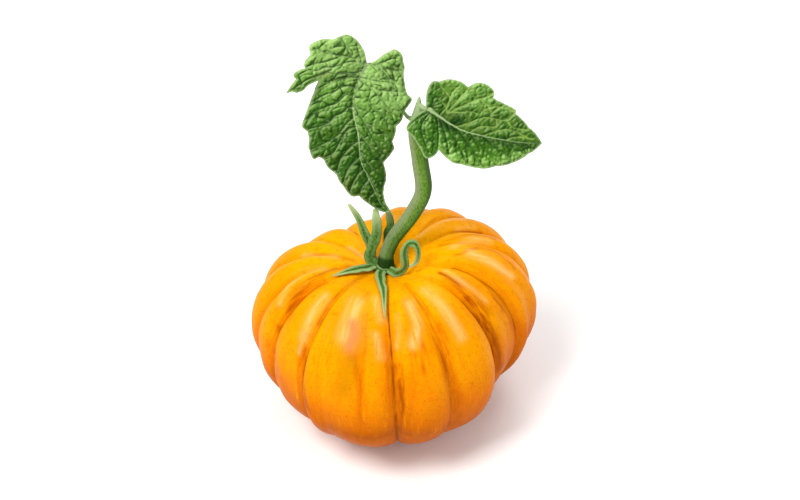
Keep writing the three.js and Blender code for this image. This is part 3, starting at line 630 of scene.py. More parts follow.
def tomato_skin(settings):
    """Waxy yellow-orange skin with painted light and shade: brighter gold towards the crown, deeper orange
    and brown low down (the deeper orange partly the riper colour), deep orange and brown in and beside the
    creases, peach highlights painted on the crests.
    """
    skin = Finish("tomato_skin", settings.gold, settings.roughness, SKIN_SHINE)
    full, down = skin.value("fullness"), skin.value("down")
    fine, speckle = skin.grain(420, 4, 0.7), skin.grain(1300, 2, 0.6)
    around = {"X": skin.value("around_x"), "Y": skin.value("around_y"), "Z": down}
    around = skin.node("ShaderNodeCombineXYZ", around).outputs[0]
    strokes = skin.grain(1, 5, 0.72, STROKE_SCALE, around)
    ragged = skin.share(strokes, 0.36, 0.6, 1.2, 0.2)

    def streak(kind, amount):
        return skin.times(skin.times(skin.value(kind), amount), ragged)

    skin.layer(skin.share(skin.grain(30, 3), 0.47, 0.75, 0.6), settings.orange)
    # Deeper orange low down: partly the riper colour, partly painted shade.
    skin.layer(skin.share(down, 0.38, 0.56, 0.85), settings.deep_orange)
    skin.layer(skin.share(strokes, 0.52, 0.68, 0.75), settings.orange)
    skin.layer(skin.share(strokes, 0.42, 0.30, 0.6), settings.bright_gold)
    # Brighter gold towards the crown: painted light.
    skin.layer(skin.share(down, 0.30, 0.12, 0.6), settings.bright_gold)
    # Orange streaks along the creases and grooves: painted shade.
    skin.layer(streak("orange", 0.9), settings.deep_orange)
    skin.layer(skin.value("olive"), settings.olive)
    # Deep orange on the rib walls beside the creases, weaker near the crown: painted shade.
    painted_wall_shade = skin.times(skin.share(full, 0.72, 0.25, 0.42), skin.share(down, 0.15, 0.42, 1, 0.1))
    skin.layer(painted_wall_shade, settings.deep_orange)
    # Brown low down: painted shade.
    skin.layer(skin.share(down, 0.46, 0.66, 0.72), settings.brown)
    # Brown streaks in and beside the creases and at the bottom: painted shade.
    skin.layer(streak("brown", 1.1), settings.brown)
    # Deep orange in the grooves: painted shade.
    skin.layer(streak("groove", 0.45), settings.deep_orange)
    # Dark lines in the creases: painted shade.
    skin.layer(skin.times(skin.share(full, 0.26, 0.0, 0.8), ragged), settings.painted_crease_shade)
    skin.layer(skin.share(fine, 0.5, 0.7, 0.4), settings.deep_orange)
    # Peach streaks on the rib crests: painted highlights.
    skin.layer(streak("pale", 0.74), settings.peach)
    skin.layer(skin.value("blush"), settings.blush)
    dots = skin.times(skin.share(speckle, 0.54, 0.70), skin.share(down, 0.2, 0.6, 0.55, 0.2))
    skin.layer(dots, settings.brown)
    skin.layer(skin.share(down, 0.985, 0.997), settings.scar)
    sum_inputs = {0: fine, 1: skin.times(speckle, 0.4)}
    height = skin.node("ShaderNodeMath", sum_inputs, operation="ADD").outputs[0]
    return skin.finish(height, 0.15, 0.0006)


def leaf_green(name, settings, underside=False):
    """A puckered blade: painted shade in its grooves and on the puckers' far sides, painted highlights on the
    puckers' near sides, pale on its middle vein and its edge.
    """
    base = settings.leaf_light if underside else settings.leaf_middle
    leaf = Finish(name, base, 0.5, LEAF_SHINE)
    tone, slope = leaf.value("tone"), leaf.value("slope")
    fine = leaf.grain(1000, 4, 0.7)
    leaf.layer(tone, settings.leaf_light)
    # The palest parts of each blade: painted highlight.
    leaf.layer(leaf.share(tone, 0.55, 1.0, 0.3), settings.painted_leaf_highlight)
    leaf.layer(leaf.share(leaf.grain(70, 3), 0.4, 0.65, 0.4), settings.leaf_fresh)
    leaf.layer(leaf.share(leaf.value("cell"), 0.0, 1.0, 0.3), settings.leaf_fresh)
    leaf.layer(leaf.share(fine, 0.45, 0.75, 0.3), settings.leaf_dark)
    # Puckers that face the painted light: painted highlight.
    leaf.layer(leaf.share(slope, 0.56, 0.88, 0.65), settings.painted_leaf_highlight)
    # Puckers that face away from it: painted shade.
    leaf.layer(leaf.share(slope, 0.5, 0.1, 0.8), settings.leaf_dark)
    leaf.layer(leaf.times(leaf.value("shade"), 0.9), settings.leaf_dark)
    # Grooves along the veins and between cells: painted shade.
    leaf.layer(leaf.share(leaf.value("groove"), 0.1, 0.9, 0.85), settings.leaf_dark)
    leaf.layer(leaf.times(leaf.value("net"), 0.75), settings.leaf_yellow)
    leaf.layer(leaf.value("vein"), settings.leaf_pale)
    leaf.layer(leaf.share(leaf.value("midrib"), 0.2, 0.9, 0.9), settings.leaf_pale)
    leaf.layer(leaf.times(leaf.value("edge"), 0.45), settings.leaf_pale)
    return leaf.finish(fine, 0.25, 0.0003)


def stem_green(name, settings, has_tip):
    """Downy stem skin, streaked along its length, with painted shade down one side. The stem's foot is dark
    and its tip is pale.
    """
    stem = Finish(name, settings.stem_dark, 0.55, STEM_SHINE)
    grain = stem.grain(1700, 4, 0.7, (1.0, 1.0, 0.4))
    run, side = stem.value("along"), stem.value("side")
    stem.layer(stem.share(grain, 0.36, 0.58, 1.0, 0.2), settings.stem_middle)
    stem.layer(stem.share(stem.grain(60, 2), 0.4, 0.65, 0.22), settings.sepal_pale)
    # Darker down one side: painted shade.
    stem.layer(stem.share(side, -0.4, 0.9, 0.8), settings.stem_dark)
    stem.layer(stem.share(side, -0.3, -1.0, 0.55), settings.stem_edge)
    if has_tip:
        stem.layer(stem.share(run, 0.5, 0.1, 0.4), settings.stem_dark)
        stem.layer(stem.share(run, 0.12, 0.085, 0.9), settings.leaf_dark)
        stem.layer(stem.share(run, 0.82, 0.97, 0.9), settings.stem_pale)
    else:
        stem.layer(stem.share(run, 0.55, 0.85, 0.3, 0.8), settings.stem_pale)
    stem.layer(stem.share(stem.grain(2200, 3, 0.7), 0.62, 0.72, 0.35), settings.stem_dark)
    return stem.finish(grain, 0.3, 0.0003)


def sepal_green(settings):
    """Sepal skin: a dark furrow down the middle, light green margins, a pale tip and painted shade down one
    side.
    """
    sepals = Finish("sepal_green", settings.sepal_middle, 0.55, STEM_SHINE)
    fine = sepals.grain(1100, 3, 0.7)
    furrow = sepals.value("furrow")
    sepals.layer(sepals.share(fine, 0.4, 0.68), settings.stem_dark)
    # Darker down one side of each sepal: painted shade.
    sepals.layer(sepals.share(sepals.value("side"), 0.0, 1.0, 0.5), settings.stem_dark)
    sepals.layer(sepals.share(furrow, 0.55, 0.0, 0.8), settings.sepal_pale)
    sepals.layer(sepals.share(furrow, 0.6, 1.0, 0.6), settings.stem_dark)
    sepals.layer(sepals.share(sepals.value("along"), 0.72, 1.0, 0.85), settings.sepal_tip)
    return sepals.finish(fine, 0.3, 0.0003)


def make_fruit(settings):
    """The ribbed fruit: a sphere whose columns follow the creases, moved onto the fruit's form."""
    columns = len(LOBES) * FRUIT_COLUMNS_PER_LOBE
    piece = added(bpy.ops.mesh.primitive_uv_sphere_add, segments=columns, ring_count=FRUIT_RINGS, radius=1)
    unit = read_points(piece)
    turn = np.degrees(np.arctan2(unit[:, 1], unit[:, 0])) % 360
    column = np.rint(turn / 360 * columns).astype(int) % columns
    lobe, part = np.divmod(column, FRUIT_COLUMNS_PER_LOBE)
    part = part / FRUIT_COLUMNS_PER_LOBE
    starts = np.array([item[0] for item in LOBES] + [LOBES[0][0] + 360])
    azimuth = starts[lobe] * (1 - part) + starts[lobe + 1] * part
    angle = np.arccos(np.clip(unit[:, 2], -1, 1))
    across, depth, _ = lobe_at(azimuth)
    full = np.sin(np.pi * np.clip(across, 0, 1)) ** CREASE_POWER
    full = 1 - (1 - full) * np.minimum(depth / FULL_CREASE, 1)
    # Where the painted shade of the creases shows, from the crown down.
    shown = eased(angle, CREASE_SHADE_RISE) * (1 - eased(angle, CREASE_SHADE_FADE))
    swell, dents = rough_field(unit * SWELL_SCALE), rough_field(unit * DENT_SCALE + 7)
    height = (settings.swelling * swell + DENT_SHARE * settings.swelling * dents) / MM
    height = height * (1 - eased(angle, SWELL_FADE)) * eased(angle, SWELL_RISE)
    marks = {kind: streaks(kind, azimuth, np.degrees(angle)) for kind in STREAK_KINDS}
    write_points(piece, fruit_point(azimuth, angle, height - GROOVE_DEPTH * marks["groove"]))
    write_values(piece, fullness=1 - (1 - full) * shown, down=angle / np.pi,
                 around_x=np.cos(np.radians(azimuth)), around_y=np.sin(np.radians(azimuth)), **marks)
    piece.data.materials.append(tomato_skin(settings))
    return finish_piece(piece, "fruit_skin", "fruit")


def sepal(path, half_widths, facing, furrow):
    """A narrow sepal with a furrow down its face and rolled margins."""
    def shape(place, x, y, section_x, section_y):
        section_y = np.where(y < 0, section_y * (1 - furrow * bell(x, 0.34)), section_y)
        wobble = 0.1 * np.sin(place * 23) * (1 - np.abs(2 * place - 1))
        return section_x * (1 + wobble), section_y

    piece = rod(path, 28, 64, along(half_widths), lambda t: SEPAL_HALF_THICKNESS * (1.3 - 0.6 * t),
                facing, shape, 0.012)
    side = np.empty(len(piece.data.vertices), dtype=np.float32)
    piece.data.attributes["side"].data.foreach_get("value", side)
    write_values(piece, furrow=0.45 + (bell(side, 0.3) - 0.45) * furrow)
    return piece


def make_calyx(settings):
    parts = []
    for azimuths, radii, half_widths, lift in LYING_SEPALS:
        path = []
        for t in np.linspace(0, 1, 9):
            phi, r = along(azimuths)(t), along(radii)(t)
            height = SURFACE_CLEARANCE + SEPAL_HALF_THICKNESS + lift * t
            path.append(fruit_point(phi, angle_at_radius(phi, r), height)[0] - CROWN)
        parts.append(sepal(path, half_widths, (0, 0, 1), 0.9))
    for path, half_widths, facing, furrow in STANDING_SEPALS:
        parts.append(sepal(path, half_widths, facing, furrow))
    radius = along((COLLAR_RADIUS * 0.8, COLLAR_RADIUS, COLLAR_RADIUS * 0.9, COLLAR_RADIUS * 0.6))
    collar = rod(((0, 0, 0.2), (0, 0, 0.8), (0, 0, 1.6), (0, 0, COLLAR_TOP)), 32, 16, radius, radius,
                 round_end=0.2)
    write_values(collar, furrow=np.full(len(collar.data.vertices), 0.95))
    piece = join([collar] + parts)
    piece.data.materials.append(sepal_green(settings))
    return finish_piece(piece, "calyx_sepals", "calyx")


def make_stem(settings):
    radius = along(STEM_RADII)

    def shape(place, x, y, section_x, section_y):
        angle = np.arctan2(y, x)
        ridges = 1 + 0.035 * np.sin(5 * angle + 3 * place) + 0.02 * np.sin(11 * angle - 5 * place)
        ridges = ridges + 0.03 * np.sin(place * 37) * np.cos(angle)
        return section_x * ridges, section_y * ridges

    piece = rod(STEM_PATH, 48, 150, radius, radius, shape=shape, round_end=0.008)
    piece.data.materials.append(stem_green("stem_green", settings, True))
    return finish_piece(piece, "stem_end", "stem")


def leaf_plane(leaf):
    """The way up and the way out of a blade, for its lean."""
    lean = math.radians(leaf["lean"])
    return np.array([0, math.sin(lean), math.cos(lean)]), np.array([0, -math.cos(lean), math.sin(lean)])


def bent(leaf, flat, relief):
    """Flat points of a blade, leaned back and raised towards the light."""
    up, _ = leaf_plane(leaf)
    right = np.array([1.0, 0, 0])
    points = np.array(leaf["base"]) + flat[:, :1] * right + flat[:, 1:] * up
    return points + np.asarray(relief)[:, None] * np.array(FACING)


def lobe_points(lobes, i):
    """The points of one lobe, from the end of the lobe before it."""
    return lobes[i] if i == 0 else (lobes[i - 1][-1],) + lobes[i]


def lobed_line(lobes, first=0):
    """Even steps along one side of a blade, from the start of one of its lobes to the tip."""
    line = []
    for i in range(first, len(lobes)):
        points = lobe_points(lobes, i)
        length = np.linalg.norm(np.diff(np.array(points), axis=0), axis=1).sum()
        steps = max(3, round(length / OUTLINE_STEP))
        line.extend(even_points(points, np.arange(steps) / steps))
    return np.array(line)


def side_samples(leaf, side, offset):
    """Flat points of one half of a blade and how far they rise towards the light."""
    lobes = len(leaf["stations"]) - 1
    t = np.linspace(0, 1, SAMPLE_ROWS + 1)
    flat, relief = [], []
    for lobe in range(lobes):
        points = lobe_points(leaf[side], lobe)
        for part in np.arange(SAMPLES_PER_LOBE) / SAMPLES_PER_LOBE:
            station = leaf["stations"][lobe] * (1 - part) + leaf["stations"][lobe + 1] * part
            foot = even_points(leaf["midrib"], [station])[0]
            edge = even_points(points, [part])[0]
            between = math.cos(2 * math.pi * part)
            inside = (leaf["bulge"] + leaf["pucker"] * between) * np.sin(np.pi * t)
            outside = (leaf["wave"] * between - leaf["curl"]) * t * t
            narrow = min(1, np.linalg.norm(edge - foot) / FULL_RELIEF_WIDTH)
            rise = (inside + outside) * narrow + leaf["arch"] * math.sin(math.pi * station)
            if side == "left":
                rise = rise - leaf["roof"] * t * smooth(station, 0.15, 0.5) * narrow
            flat.extend(foot * (1 - t)[:, None] + edge * t[:, None] + (0, offset[0]))
            relief.extend(rise + offset[1])
    return flat, relief


def relief_field(leaves):
    """A function that gives the smooth rise of a blade, or of blades grown together."""
    flat, relief = [], []
    for leaf, offset in leaves:
        for side in ("left", "right"):
            points, rises = side_samples(leaf, side, offset)
            flat.extend(points)
            relief.extend(rises)
    tree = KDTree(len(flat))
    for i, point in enumerate(flat):
        tree.insert((point[0], point[1], 0), i)
    tree.balance()

    def field(points):
        rises = np.empty(len(points))
        for i, (u, v) in enumerate(points):
            found = tree.find_n((u, v, 0), 18)
            weight = np.exp([-(item[2] / SAMPLE_REACH) ** 2 for item in found]) + 1e-9
            rises[i] = np.dot(weight, [relief[item[1]] for item in found]) / weight.sum()
        return rises

    return field


def line_distance(points, line):
    """Distance from points to a line of segments, and how far along it the nearest place is."""
    line = np.asarray(line, float)
    best, where = np.full(len(points), 1e9), np.zeros(len(points))
    count = len(line) - 1
    for i in range(count):
        a, step = line[i], line[i + 1] - line[i]
        t = np.clip((points - a) @ step / max(step @ step, 1e-12), 0, 1)
        distance = np.linalg.norm(points - a - t[:, None] * step, axis=1)
        closer = distance < best
        best = np.where(closer, distance, best)
        where = np.where(closer, (i + t) / count, where)
    return best, where


def edge_distance(points, outline):
    return line_distance(points, np.vstack([outline, outline[:1]]))[0]


def within(points, polygon):
    """Which points lie within a polygon."""
    odd = np.zeros(len(points), dtype=bool)
    for a, b in zip(polygon, np.roll(polygon, -1, axis=0)):
        crosses = (a[1] > points[:, 1]) != (b[1] > points[:, 1])
        rise = b[1] - a[1] if abs(b[1] - a[1]) > 1e-12 else 1e-12
        odd ^= crosses & (points[:, 0] < (b[0] - a[0]) * (points[:, 1] - a[1]) / rise + a[0])
    return odd


def flat_sheet(outline):
    """A fine flat mesh that fills an outline: its points and its triangles."""
    low, high = outline.min(axis=0), outline.max(axis=0)
    rows = []
    for k, v in enumerate(np.arange(low[1], high[1], BLADE_STEP * 0.866)):
        row = np.arange(low[0] + BLADE_STEP * 0.5 * (k % 2), high[0], BLADE_STEP)
        rows.append(np.column_stack([row, np.full(len(row), v)]))
    grid = np.concatenate(rows)
    grid = grid[within(grid, outline)]
    grid = grid[edge_distance(grid, outline) > BLADE_STEP * 0.55]
    points = np.vstack([outline, grid])
    count = len(outline)
    edges = [(i, (i + 1) % count) for i in range(count)]
    vertices, _, faces, _, _, _ = delaunay_2d_cdt([Vector(p) for p in points], edges, [], 1, 1e-6)
    return np.array([tuple(v) for v in vertices]), faces


def side_of_midrib(leaf, flat):
    """1 for points right of a hanging blade's midrib or above a lying one's, and 0 for others."""
    rib = even_points(leaf["midrib"], np.linspace(0, 1, 60))
    if leaf["roof"] > 0:
        return (flat[:, 1] > np.interp(flat[:, 0], rib[:, 0], rib[:, 1])).astype(int)
    return (flat[:, 0] > np.interp(flat[:, 1], rib[::-1, 1], rib[::-1, 0])).astype(int)


def cells(leaf, flat, beyond):
    """Distance from the borders between the leaf's cells, in millimetres, and a value for each.

    The cells are long ones, and lie along the side veins of their half of the blade."""
    border, value = np.empty(len(flat)), np.empty(len(flat))
    size = leaf["cell_size"]
    noise.seed_set(int(leaf["seed"]))
    for i, (u, v) in enumerate(flat / size):
        x, y = leaf["vein_ways"][int(beyond[i])]
        spot = Vector(((u * x + v * y) / CELL_STRETCH, v * x - u * y, leaf["seed"] + beyond[i]))
        spot += CELL_WANDER * noise.noise_vector(spot * 0.6)
        spot.z = leaf["seed"]
        distances, points = noise.voronoi(spot)
        border[i] = (distances[1] - distances[0]) / 2 * size
        value[i] = 0.5 + 0.5 * noise.cell(points[0] * 7.3)
    return border, value


def blade_noise(flat, scale, seed):
    return rough_field(np.column_stack([flat * scale, np.full(len(flat), seed)]))


def leaf_blade(leaf, outline, veins, field, tone):
    """A whole blade: puckered between its veins, with a groove along each of them."""
    seed = leaf["seed"]
    flat, faces = flat_sheet(outline)
    mesh = bpy.data.meshes.new("blade")
    mesh.from_pydata([(u * MM, v * MM, 0) for u, v in flat], [], faces)
    piece = bpy.data.objects.new("blade", mesh)
    bpy.context.collection.objects.link(piece)
    edge = edge_distance(flat, outline)
    middle, middle_at = line_distance(flat, curve_points(veins[0], np.linspace(0, 1, 60)))
    side, side_at = np.full(len(flat), 1e9), np.zeros(len(flat))
    for vein in veins[1:]:
        distance, at = line_distance(flat, curve_points(vein, np.linspace(0, 1, 14)))
        side_at = np.where(distance < side, at, side_at)
        side = np.minimum(side, distance)
    border, value = cells(leaf, flat, side_of_midrib(leaf, flat))
    border = border + 0.2 * (1 - value)
    clear = np.minimum(np.minimum(side, middle), border)
    pillow = np.sin(np.minimum(clear / PILLOW_REACH, 1) * np.pi / 2) ** 0.9
    inside = smooth(edge, 0.0, FLAT_RIM)
    ridge = bell(middle, 0.5 - 0.28 * middle_at + 0.4 * np.exp(-middle_at / 0.07))
    height = CELL_HEIGHT * pillow * (0.6 + 0.8 * value) * (0.25 + 0.75 * inside)
    height += ROUGH_HEIGHT * blade_noise(flat, 0.9, seed)
    height += FIELD_HEIGHT * (1 - bell(np.minimum(side, middle), FIELD_REACH)) * inside
    valleys = MIDRIB_VALLEY_DEPTH * bell(middle, MIDRIB_VALLEY_WIDTH)
    valleys += VEIN_VALLEY_DEPTH * bell(side, VEIN_VALLEY_WIDTH) * (1 - 0.5 * side_at)
    height += MIDRIB_RIDGE * ridge - valleys
    write_points(piece, np.column_stack([flat, height]))
    normals = read_points(piece, "normal")
    normals *= np.sign(normals[:, 2:])
    write_points(piece, bent(leaf, flat, field(flat) + height) + CROWN)
    worn = smooth(blade_noise(flat, 0.35, seed + 5), -0.35, 0.3)
    pale, shade, net = tone(flat, edge)
    pale_vein = bell(side, 0.32 - 0.14 * side_at) * (1 - 0.75 * side_at)
    fine_net = bell(side, NET_WIDTH) + 0.45 * bell(border, NET_WIDTH) * worn
    # slope tells how far each pucker faces the side of the painted light; the groove value darkens the
    # grooves between cells and along veins with painted shade.
    write_values(piece, cell=value, tone=pale, shade=shade, net=net * np.minimum(fine_net, 1),
                 slope=np.clip(normals @ np.array(PAINTED_LIGHT_SIDE), 0, 1), edge=1 - smooth(edge, 0.25, 0.9),
                 midrib=ridge * (1 - 0.5 * middle_at), vein=leaf["vein_paleness"] * pale_vein,
                 groove=(1 - smooth(clear, 0.06, 0.38)) * inside * (0.25 + 0.75 * worn))
    select_only([piece])
    solid = piece.modifiers.new("blade", "SOLIDIFY")
    solid.thickness = BLADE_THICKNESS * MM
    solid.offset = 0.0
    solid.material_offset = 1
    solid.use_even_offset = False
    bpy.ops.object.modifier_apply(modifier=solid.name)
    return piece


def leaf_stalk(path, radii, leaf, field):
    """A leaf's stalk, which runs on under the blade along the start of its middle vein."""
    rib = even_points(leaf["midrib"], MIDRIB_STATIONS)
    _, normal = leaf_plane(leaf)
    rib = bent(leaf, rib, field(rib)) - normal * MIDRIB_DEPTH
    radius = along(radii)
    return rod(np.vstack([np.array(path), rib]), 16, 90, radius, radius, round_end=0.01)


def make_leaf(name, node, piece, stalk, settings):
    """Joins a leaf's blade and its stalk, each with its own material, into one piece."""
    piece.data.materials.append(leaf_green(name + "_face", settings))
    piece.data.materials.append(leaf_green(name + "_underside", settings, True))
    stalk.data.materials.append(stem_green(name + "_stalk", settings, False))
    return finish_piece(join([piece, stalk]), name, node)


def make_left_leaf(settings):
    """The hanging leaf, whose basal lobe is grown together with the blade."""
    lobe, leaf = LEFT_BASAL_LOBE, LEFT_LEAF
    shift = (0.0, LOBE_SHIFT)
    outline = np.vstack([lobed_line(leaf["right"]), [leaf["left"][-1][-1]], lobed_line(leaf["left"], 4)[::-1],
                         lobed_line(lobe["right"], 2) + shift, [np.add(lobe["left"][-1][-1], shift)],
                         lobed_line(lobe["left"])[::-1] - (0.0, LOBE_OVERLAP)])
    field = relief_field(((leaf, (0, 0)), (lobe, (LOBE_SHIFT, LOBE_RISE))))

    def tone(flat, edge):
        """Pale towards the upper right, dark low down and at the left."""
        height = flat[:, 1] + 0.55 * flat[:, 0]
        pale = smooth(height, -46, 2)
        shade = 0.1 + 0.45 * (1 - smooth(height, -46, -12))
        return pale, shade, np.zeros(len(flat))

    blade = leaf_blade(leaf, outline, LEFT_VEINS, field, tone)
    stalk = leaf_stalk(LEFT_STALK, LEFT_STALK_RADII, leaf, field)
    return make_leaf("leaf_left_blade", "leaf_left", blade, stalk, settings)


def make_right_leaf(settings):
    """The leaf that faces the light, darker below its midrib where the blade turns down and painted shade
    lies, and pale along its lower margin with painted light.
    """
    leaf = RIGHT_LEAF
    outline = np.vstack([lobed_line(leaf["right"]), [leaf["left"][-1][-1]], lobed_line(leaf["left"])[::-1]])
    field = relief_field(((leaf, (0, 0)),))
    midrib = np.array(leaf["midrib"])

    def tone(flat, edge):
        """Painted light along the lower margin, dark about the midrib's start, painted shade below the
        midrib, netted above the midrib.
        """
        above = flat[:, 1] - np.interp(flat[:, 0], midrib[:, 0], midrib[:, 1])
        upper = smooth(above, -0.6, 1.5)
        # Along the lower margin: painted light.
        margin = (1 - smooth(edge, 0.6, 5.5)) * smooth(-above, 2, 5) * smooth(flat[:, 0], 2, 10)
        top_lobe = smooth(above, 8, 13) * smooth(flat[:, 0], 2, 10)
        pale = np.clip(0.05 + 0.1 * upper + 0.35 * top_lobe + 0.75 * margin, 0, 1)
        start = np.linalg.norm((flat - (8.5, -5.0)) / (7.0, 4.0), axis=1)
        # Just below the midrib: painted shade.
        below = smooth(-above, 0.2, 1.0) * (1 - smooth(-above, 1.5, 6)) * smooth(flat[:, 0], 3, 9)
        shade = 0.3 + 0.2 * upper + 0.65 * (1 - smooth(start, 0.3, 1.3)) + 0.45 * below
        shade = shade - margin - 0.3 * top_lobe
        return pale, np.clip(shade, 0, 1), upper * smooth(flat[:, 0], 2, 8)

    blade = leaf_blade(leaf, outline, RIGHT_VEINS, field, tone)
    stalk = leaf_stalk(RIGHT_STALK, RIGHT_STALK_RADII, leaf, field)
    return make_leaf("leaf_right_blade", "leaf_right", blade, stalk, settings)


def pale_floor(settings):
    """The floor's nearly even, matt colour."""
    paint = Finish("pale_floor", settings.floor_colour, 0.9)
    paler = [min(1.0, share * 1.02) for share in settings.floor_colour]
    paint.layer(paint.share(paint.grain(4, 2), 0.3, 0.7), paler)
    return paint.finish()


def make_stage(settings):
    """The floor, three soft lights, white surroundings and the camera."""
    floor = added(bpy.ops.mesh.primitive_plane_add, size=settings.floor_size, location=(0, 0, 0))
    floor.name = "floor"
    floor.data.materials.append(pale_floor(settings))
    for name, place, target, side, colour in LIGHTS:
        light = added(bpy.ops.object.light_add, type="AREA", location=place)
        light.name = name + "_light"
        light.data.size = side
        light.data.energy = getattr(settings, name + "_watts")
        light.data.color = colour
        direction = Vector((0, 0, target)) - light.location
        light.rotation_euler = direction.to_track_quat("-Z", "Y").to_euler()
    world = bpy.data.worlds.new("studio")
    world.use_nodes = True
    background = world.node_tree.nodes["Background"]
    background.inputs["Color"].default_value = (1, 1, 1, 1)
    background.inputs["Strength"].default_value = settings.world_light
    scene = bpy.context.scene
    scene.world = world
    scene.view_settings.view_transform = "Standard"
    camera = added(bpy.ops.object.camera_add, location=[c * MM for c in CAMERA_AT],
                   rotation=(math.radians(90 - CAMERA_ELEVATION), 0, 0))
    camera.name = "camera"
    camera.data.lens = CAMERA_LENS
    camera.data.sensor_width = SENSOR_WIDTH
    camera.data.dof.use_dof = False
    camera.data.clip_start = 0.01
    scene.camera = camera


def colour_property(name, description, default):
    return bpy.props.FloatVectorProperty(name=name, description=description, subtype="COLOR", size=3,
                                         min=0.0, max=1.0, default=default)


def light_property(name, description, default):
    return bpy.props.FloatProperty(name=name, description=description, default=default)


class TomatoSkinSettings(bpy.types.PropertyGroup):
    gold: colour_property("Gold", "Main colour of the skin", (0.84, 0.30, 0.0))
    # Bright gold: the bright strokes, and painted light towards the crown.
    bright_gold: colour_property("Bright gold", "Colour of the bright strokes", (0.92, 0.40, 0.0))
    orange: colour_property("Orange", "Colour of the riper patches", (0.84, 0.205, 0.0))
    # Deep orange: partly the riper colour low down, and painted shade low down, on the rib walls, in the
    # grooves and along the creases.
    deep_orange: colour_property("Deep orange", "Colour low down and on the rib walls", (0.60, 0.125, 0.0))
    # Brown: painted shade in and beside the creases and low down, and the skin's brown speckles.
    brown: colour_property("Brown", "Colour of the brown shades beside creases", (0.36, 0.075, 0.0))
    olive: colour_property("Olive", "Colour of the olive patch", (0.40, 0.165, 0.0))
    # Peach: the painted highlights on the rib crests.
    peach: colour_property("Peach", "Pale streaks on the rib crests", (0.90, 0.50, 0.15))
    blush: colour_property("Blush", "Rosy spot on the front rib", (0.80, 0.21, 0.06))
    # Painted shade in the creases.
    painted_crease_shade: colour_property("Crease brown", "Colour in the creases", (0.20, 0.045, 0.001))
    scar: colour_property("Scar", "Corky spot at the blossom end", (0.25, 0.13, 0.05))
    roughness: bpy.props.FloatProperty(name="Roughness", description="Roughness of the skin", default=0.34,
                                       min=0.0, max=1.0, subtype="FACTOR")
    swelling: bpy.props.FloatProperty(name="Swelling", description="Height of the soft uneven swellings",
                                      default=0.00055, unit="LENGTH")


class TomatoGreenSettings(bpy.types.PropertyGroup):
    # Leaf dark also gives the painted shade in the blades' grooves and on the puckers' far sides.
    leaf_dark: colour_property("Leaf dark", "Green in the grooves of the blades", (0.006, 0.035, 0.003))
    leaf_middle: colour_property("Leaf middle", "Main green of the blades", (0.042, 0.15, 0.006))
    leaf_fresh: colour_property("Leaf fresh", "Green of the brighter patches", (0.085, 0.23, 0.010))
    leaf_light: colour_property("Leaf light", "Light green of the upper blades", (0.22, 0.42, 0.085))
    # Painted highlight on the puckers that face the painted light, and on the palest parts of the blades.
    painted_leaf_highlight: colour_property("Leaf bloom", "Grey green where the puckers catch light", (0.42, 0.62, 0.22))
    leaf_yellow: colour_property("Leaf yellow", "Yellow green of the fine net of veins", (0.29, 0.46, 0.08))
    leaf_pale: colour_property("Leaf pale", "Green of the veins and edges", (0.42, 0.55, 0.27))
    stem_dark: colour_property("Stem dark", "Dark green of the stem and furrows", (0.02, 0.075, 0.008))
    stem_middle: colour_property("Stem middle", "Main green of the stem", (0.13, 0.25, 0.026))
    stem_edge: colour_property("Stem edge", "Grey purple flush on the stem's left side", (0.30, 0.30, 0.20))
    stem_pale: colour_property("Stem pale", "Pale green of the stem's tip", (0.34, 0.45, 0.23))
    sepal_middle: colour_property("Sepal middle", "Main green of the sepals", (0.085, 0.19, 0.03))
    sepal_pale: colour_property("Sepal pale", "Light green of the sepal margins", (0.34, 0.48, 0.19))
    sepal_tip: colour_property("Sepal tip", "Pale sepal tips", (0.42, 0.52, 0.24))


class TomatoStageSettings(bpy.types.PropertyGroup):
    floor_colour: colour_property("Floor", "Colour of the floor", (0.97, 0.97, 0.97))
    floor_size: bpy.props.FloatProperty(name="Floor size", description="Side of the square floor",
                                        default=12.0, unit="LENGTH")
    key_watts: light_property("Key", "Strength of the key light", 17.5)
    fill_watts: light_property("Fill", "Strength of the fill light", 3.5)
    back_watts: light_property("Back", "Strength of the back light", 6.0)
    world_light: light_property("World", "Strength of the surroundings", 0.58)


class TOMATO_OT_fruit(bpy.types.Operator):
    """Make the ribbed fruit"""

    bl_idname = "tomato.fruit"
    bl_label = "Fruit"

    def execute(self, context):
        make_fruit(context.scene.tomato_skin)
        return {"FINISHED"}


class TOMATO_OT_calyx(bpy.types.Operator):
    """Make the six sepals on their collar"""

    bl_idname = "tomato.calyx"
    bl_label = "Calyx"

    def execute(self, context):
        make_calyx(context.scene.tomato_green)
        return {"FINISHED"}


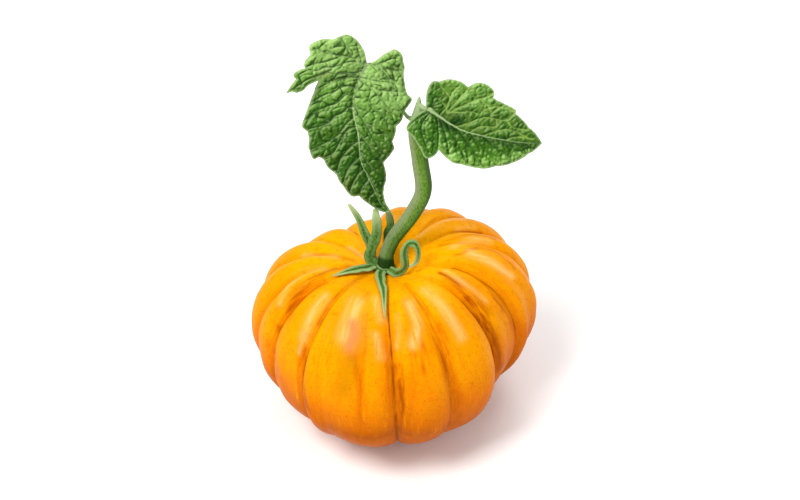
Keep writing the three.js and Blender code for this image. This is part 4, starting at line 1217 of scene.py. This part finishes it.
class TOMATO_OT_stem(bpy.types.Operator):
    """Make the cut stem end"""

    bl_idname = "tomato.stem"
    bl_label = "Stem"

    def execute(self, context):
        make_stem(context.scene.tomato_green)
        return {"FINISHED"}


class TOMATO_OT_leaves(bpy.types.Operator):
    """Make the two leaves with their stalks"""

    bl_idname = "tomato.leaves"
    bl_label = "Leaves"

    def execute(self, context):
        make_left_leaf(context.scene.tomato_green)
        make_right_leaf(context.scene.tomato_green)
        return {"FINISHED"}


class TOMATO_OT_stage(bpy.types.Operator):
    """Make the floor, the lights and the camera"""

    bl_idname = "tomato.stage"
    bl_label = "Stage"

    def execute(self, context):
        make_stage(context.scene.tomato_stage)
        return {"FINISHED"}


class TOMATO_PT_panel(bpy.types.Panel):
    """Lists the steps that make the tomato"""

    bl_idname = "TOMATO_PT_panel"
    bl_label = "Tomato"
    bl_space_type = "VIEW_3D"
    bl_region_type = "UI"
    bl_category = "Tomato"

    def draw(self, context):
        for step in STEPS:
            self.layout.operator(step.bl_idname)
        for group in (context.scene.tomato_skin, context.scene.tomato_green, context.scene.tomato_stage):
            for key in group.bl_rna.properties.keys():
                if key not in {"rna_type", "name"}:
                    self.layout.prop(group, key)


STEPS = (TOMATO_OT_stage, TOMATO_OT_fruit, TOMATO_OT_calyx, TOMATO_OT_stem, TOMATO_OT_leaves)
SETTINGS = (("tomato_skin", TomatoSkinSettings), ("tomato_green", TomatoGreenSettings),
            ("tomato_stage", TomatoStageSettings))


def register():
    for name, group in SETTINGS:
        bpy.utils.register_class(group)
        setattr(bpy.types.Scene, name, bpy.props.PointerProperty(type=group))
    for item in STEPS + (TOMATO_PT_panel,):
        bpy.utils.register_class(item)


def unregister():
    for item in reversed(STEPS + (TOMATO_PT_panel,)):
        bpy.utils.unregister_class(item)
    for name, group in reversed(SETTINGS):
        delattr(bpy.types.Scene, name)
        bpy.utils.unregister_class(group)


def main():
    register()
    bpy.ops.tomato.stage()
    bpy.ops.tomato.fruit()
    bpy.ops.tomato.calyx()
    bpy.ops.tomato.stem()
    bpy.ops.tomato.leaves()


if __name__ == "__main__":
    main()
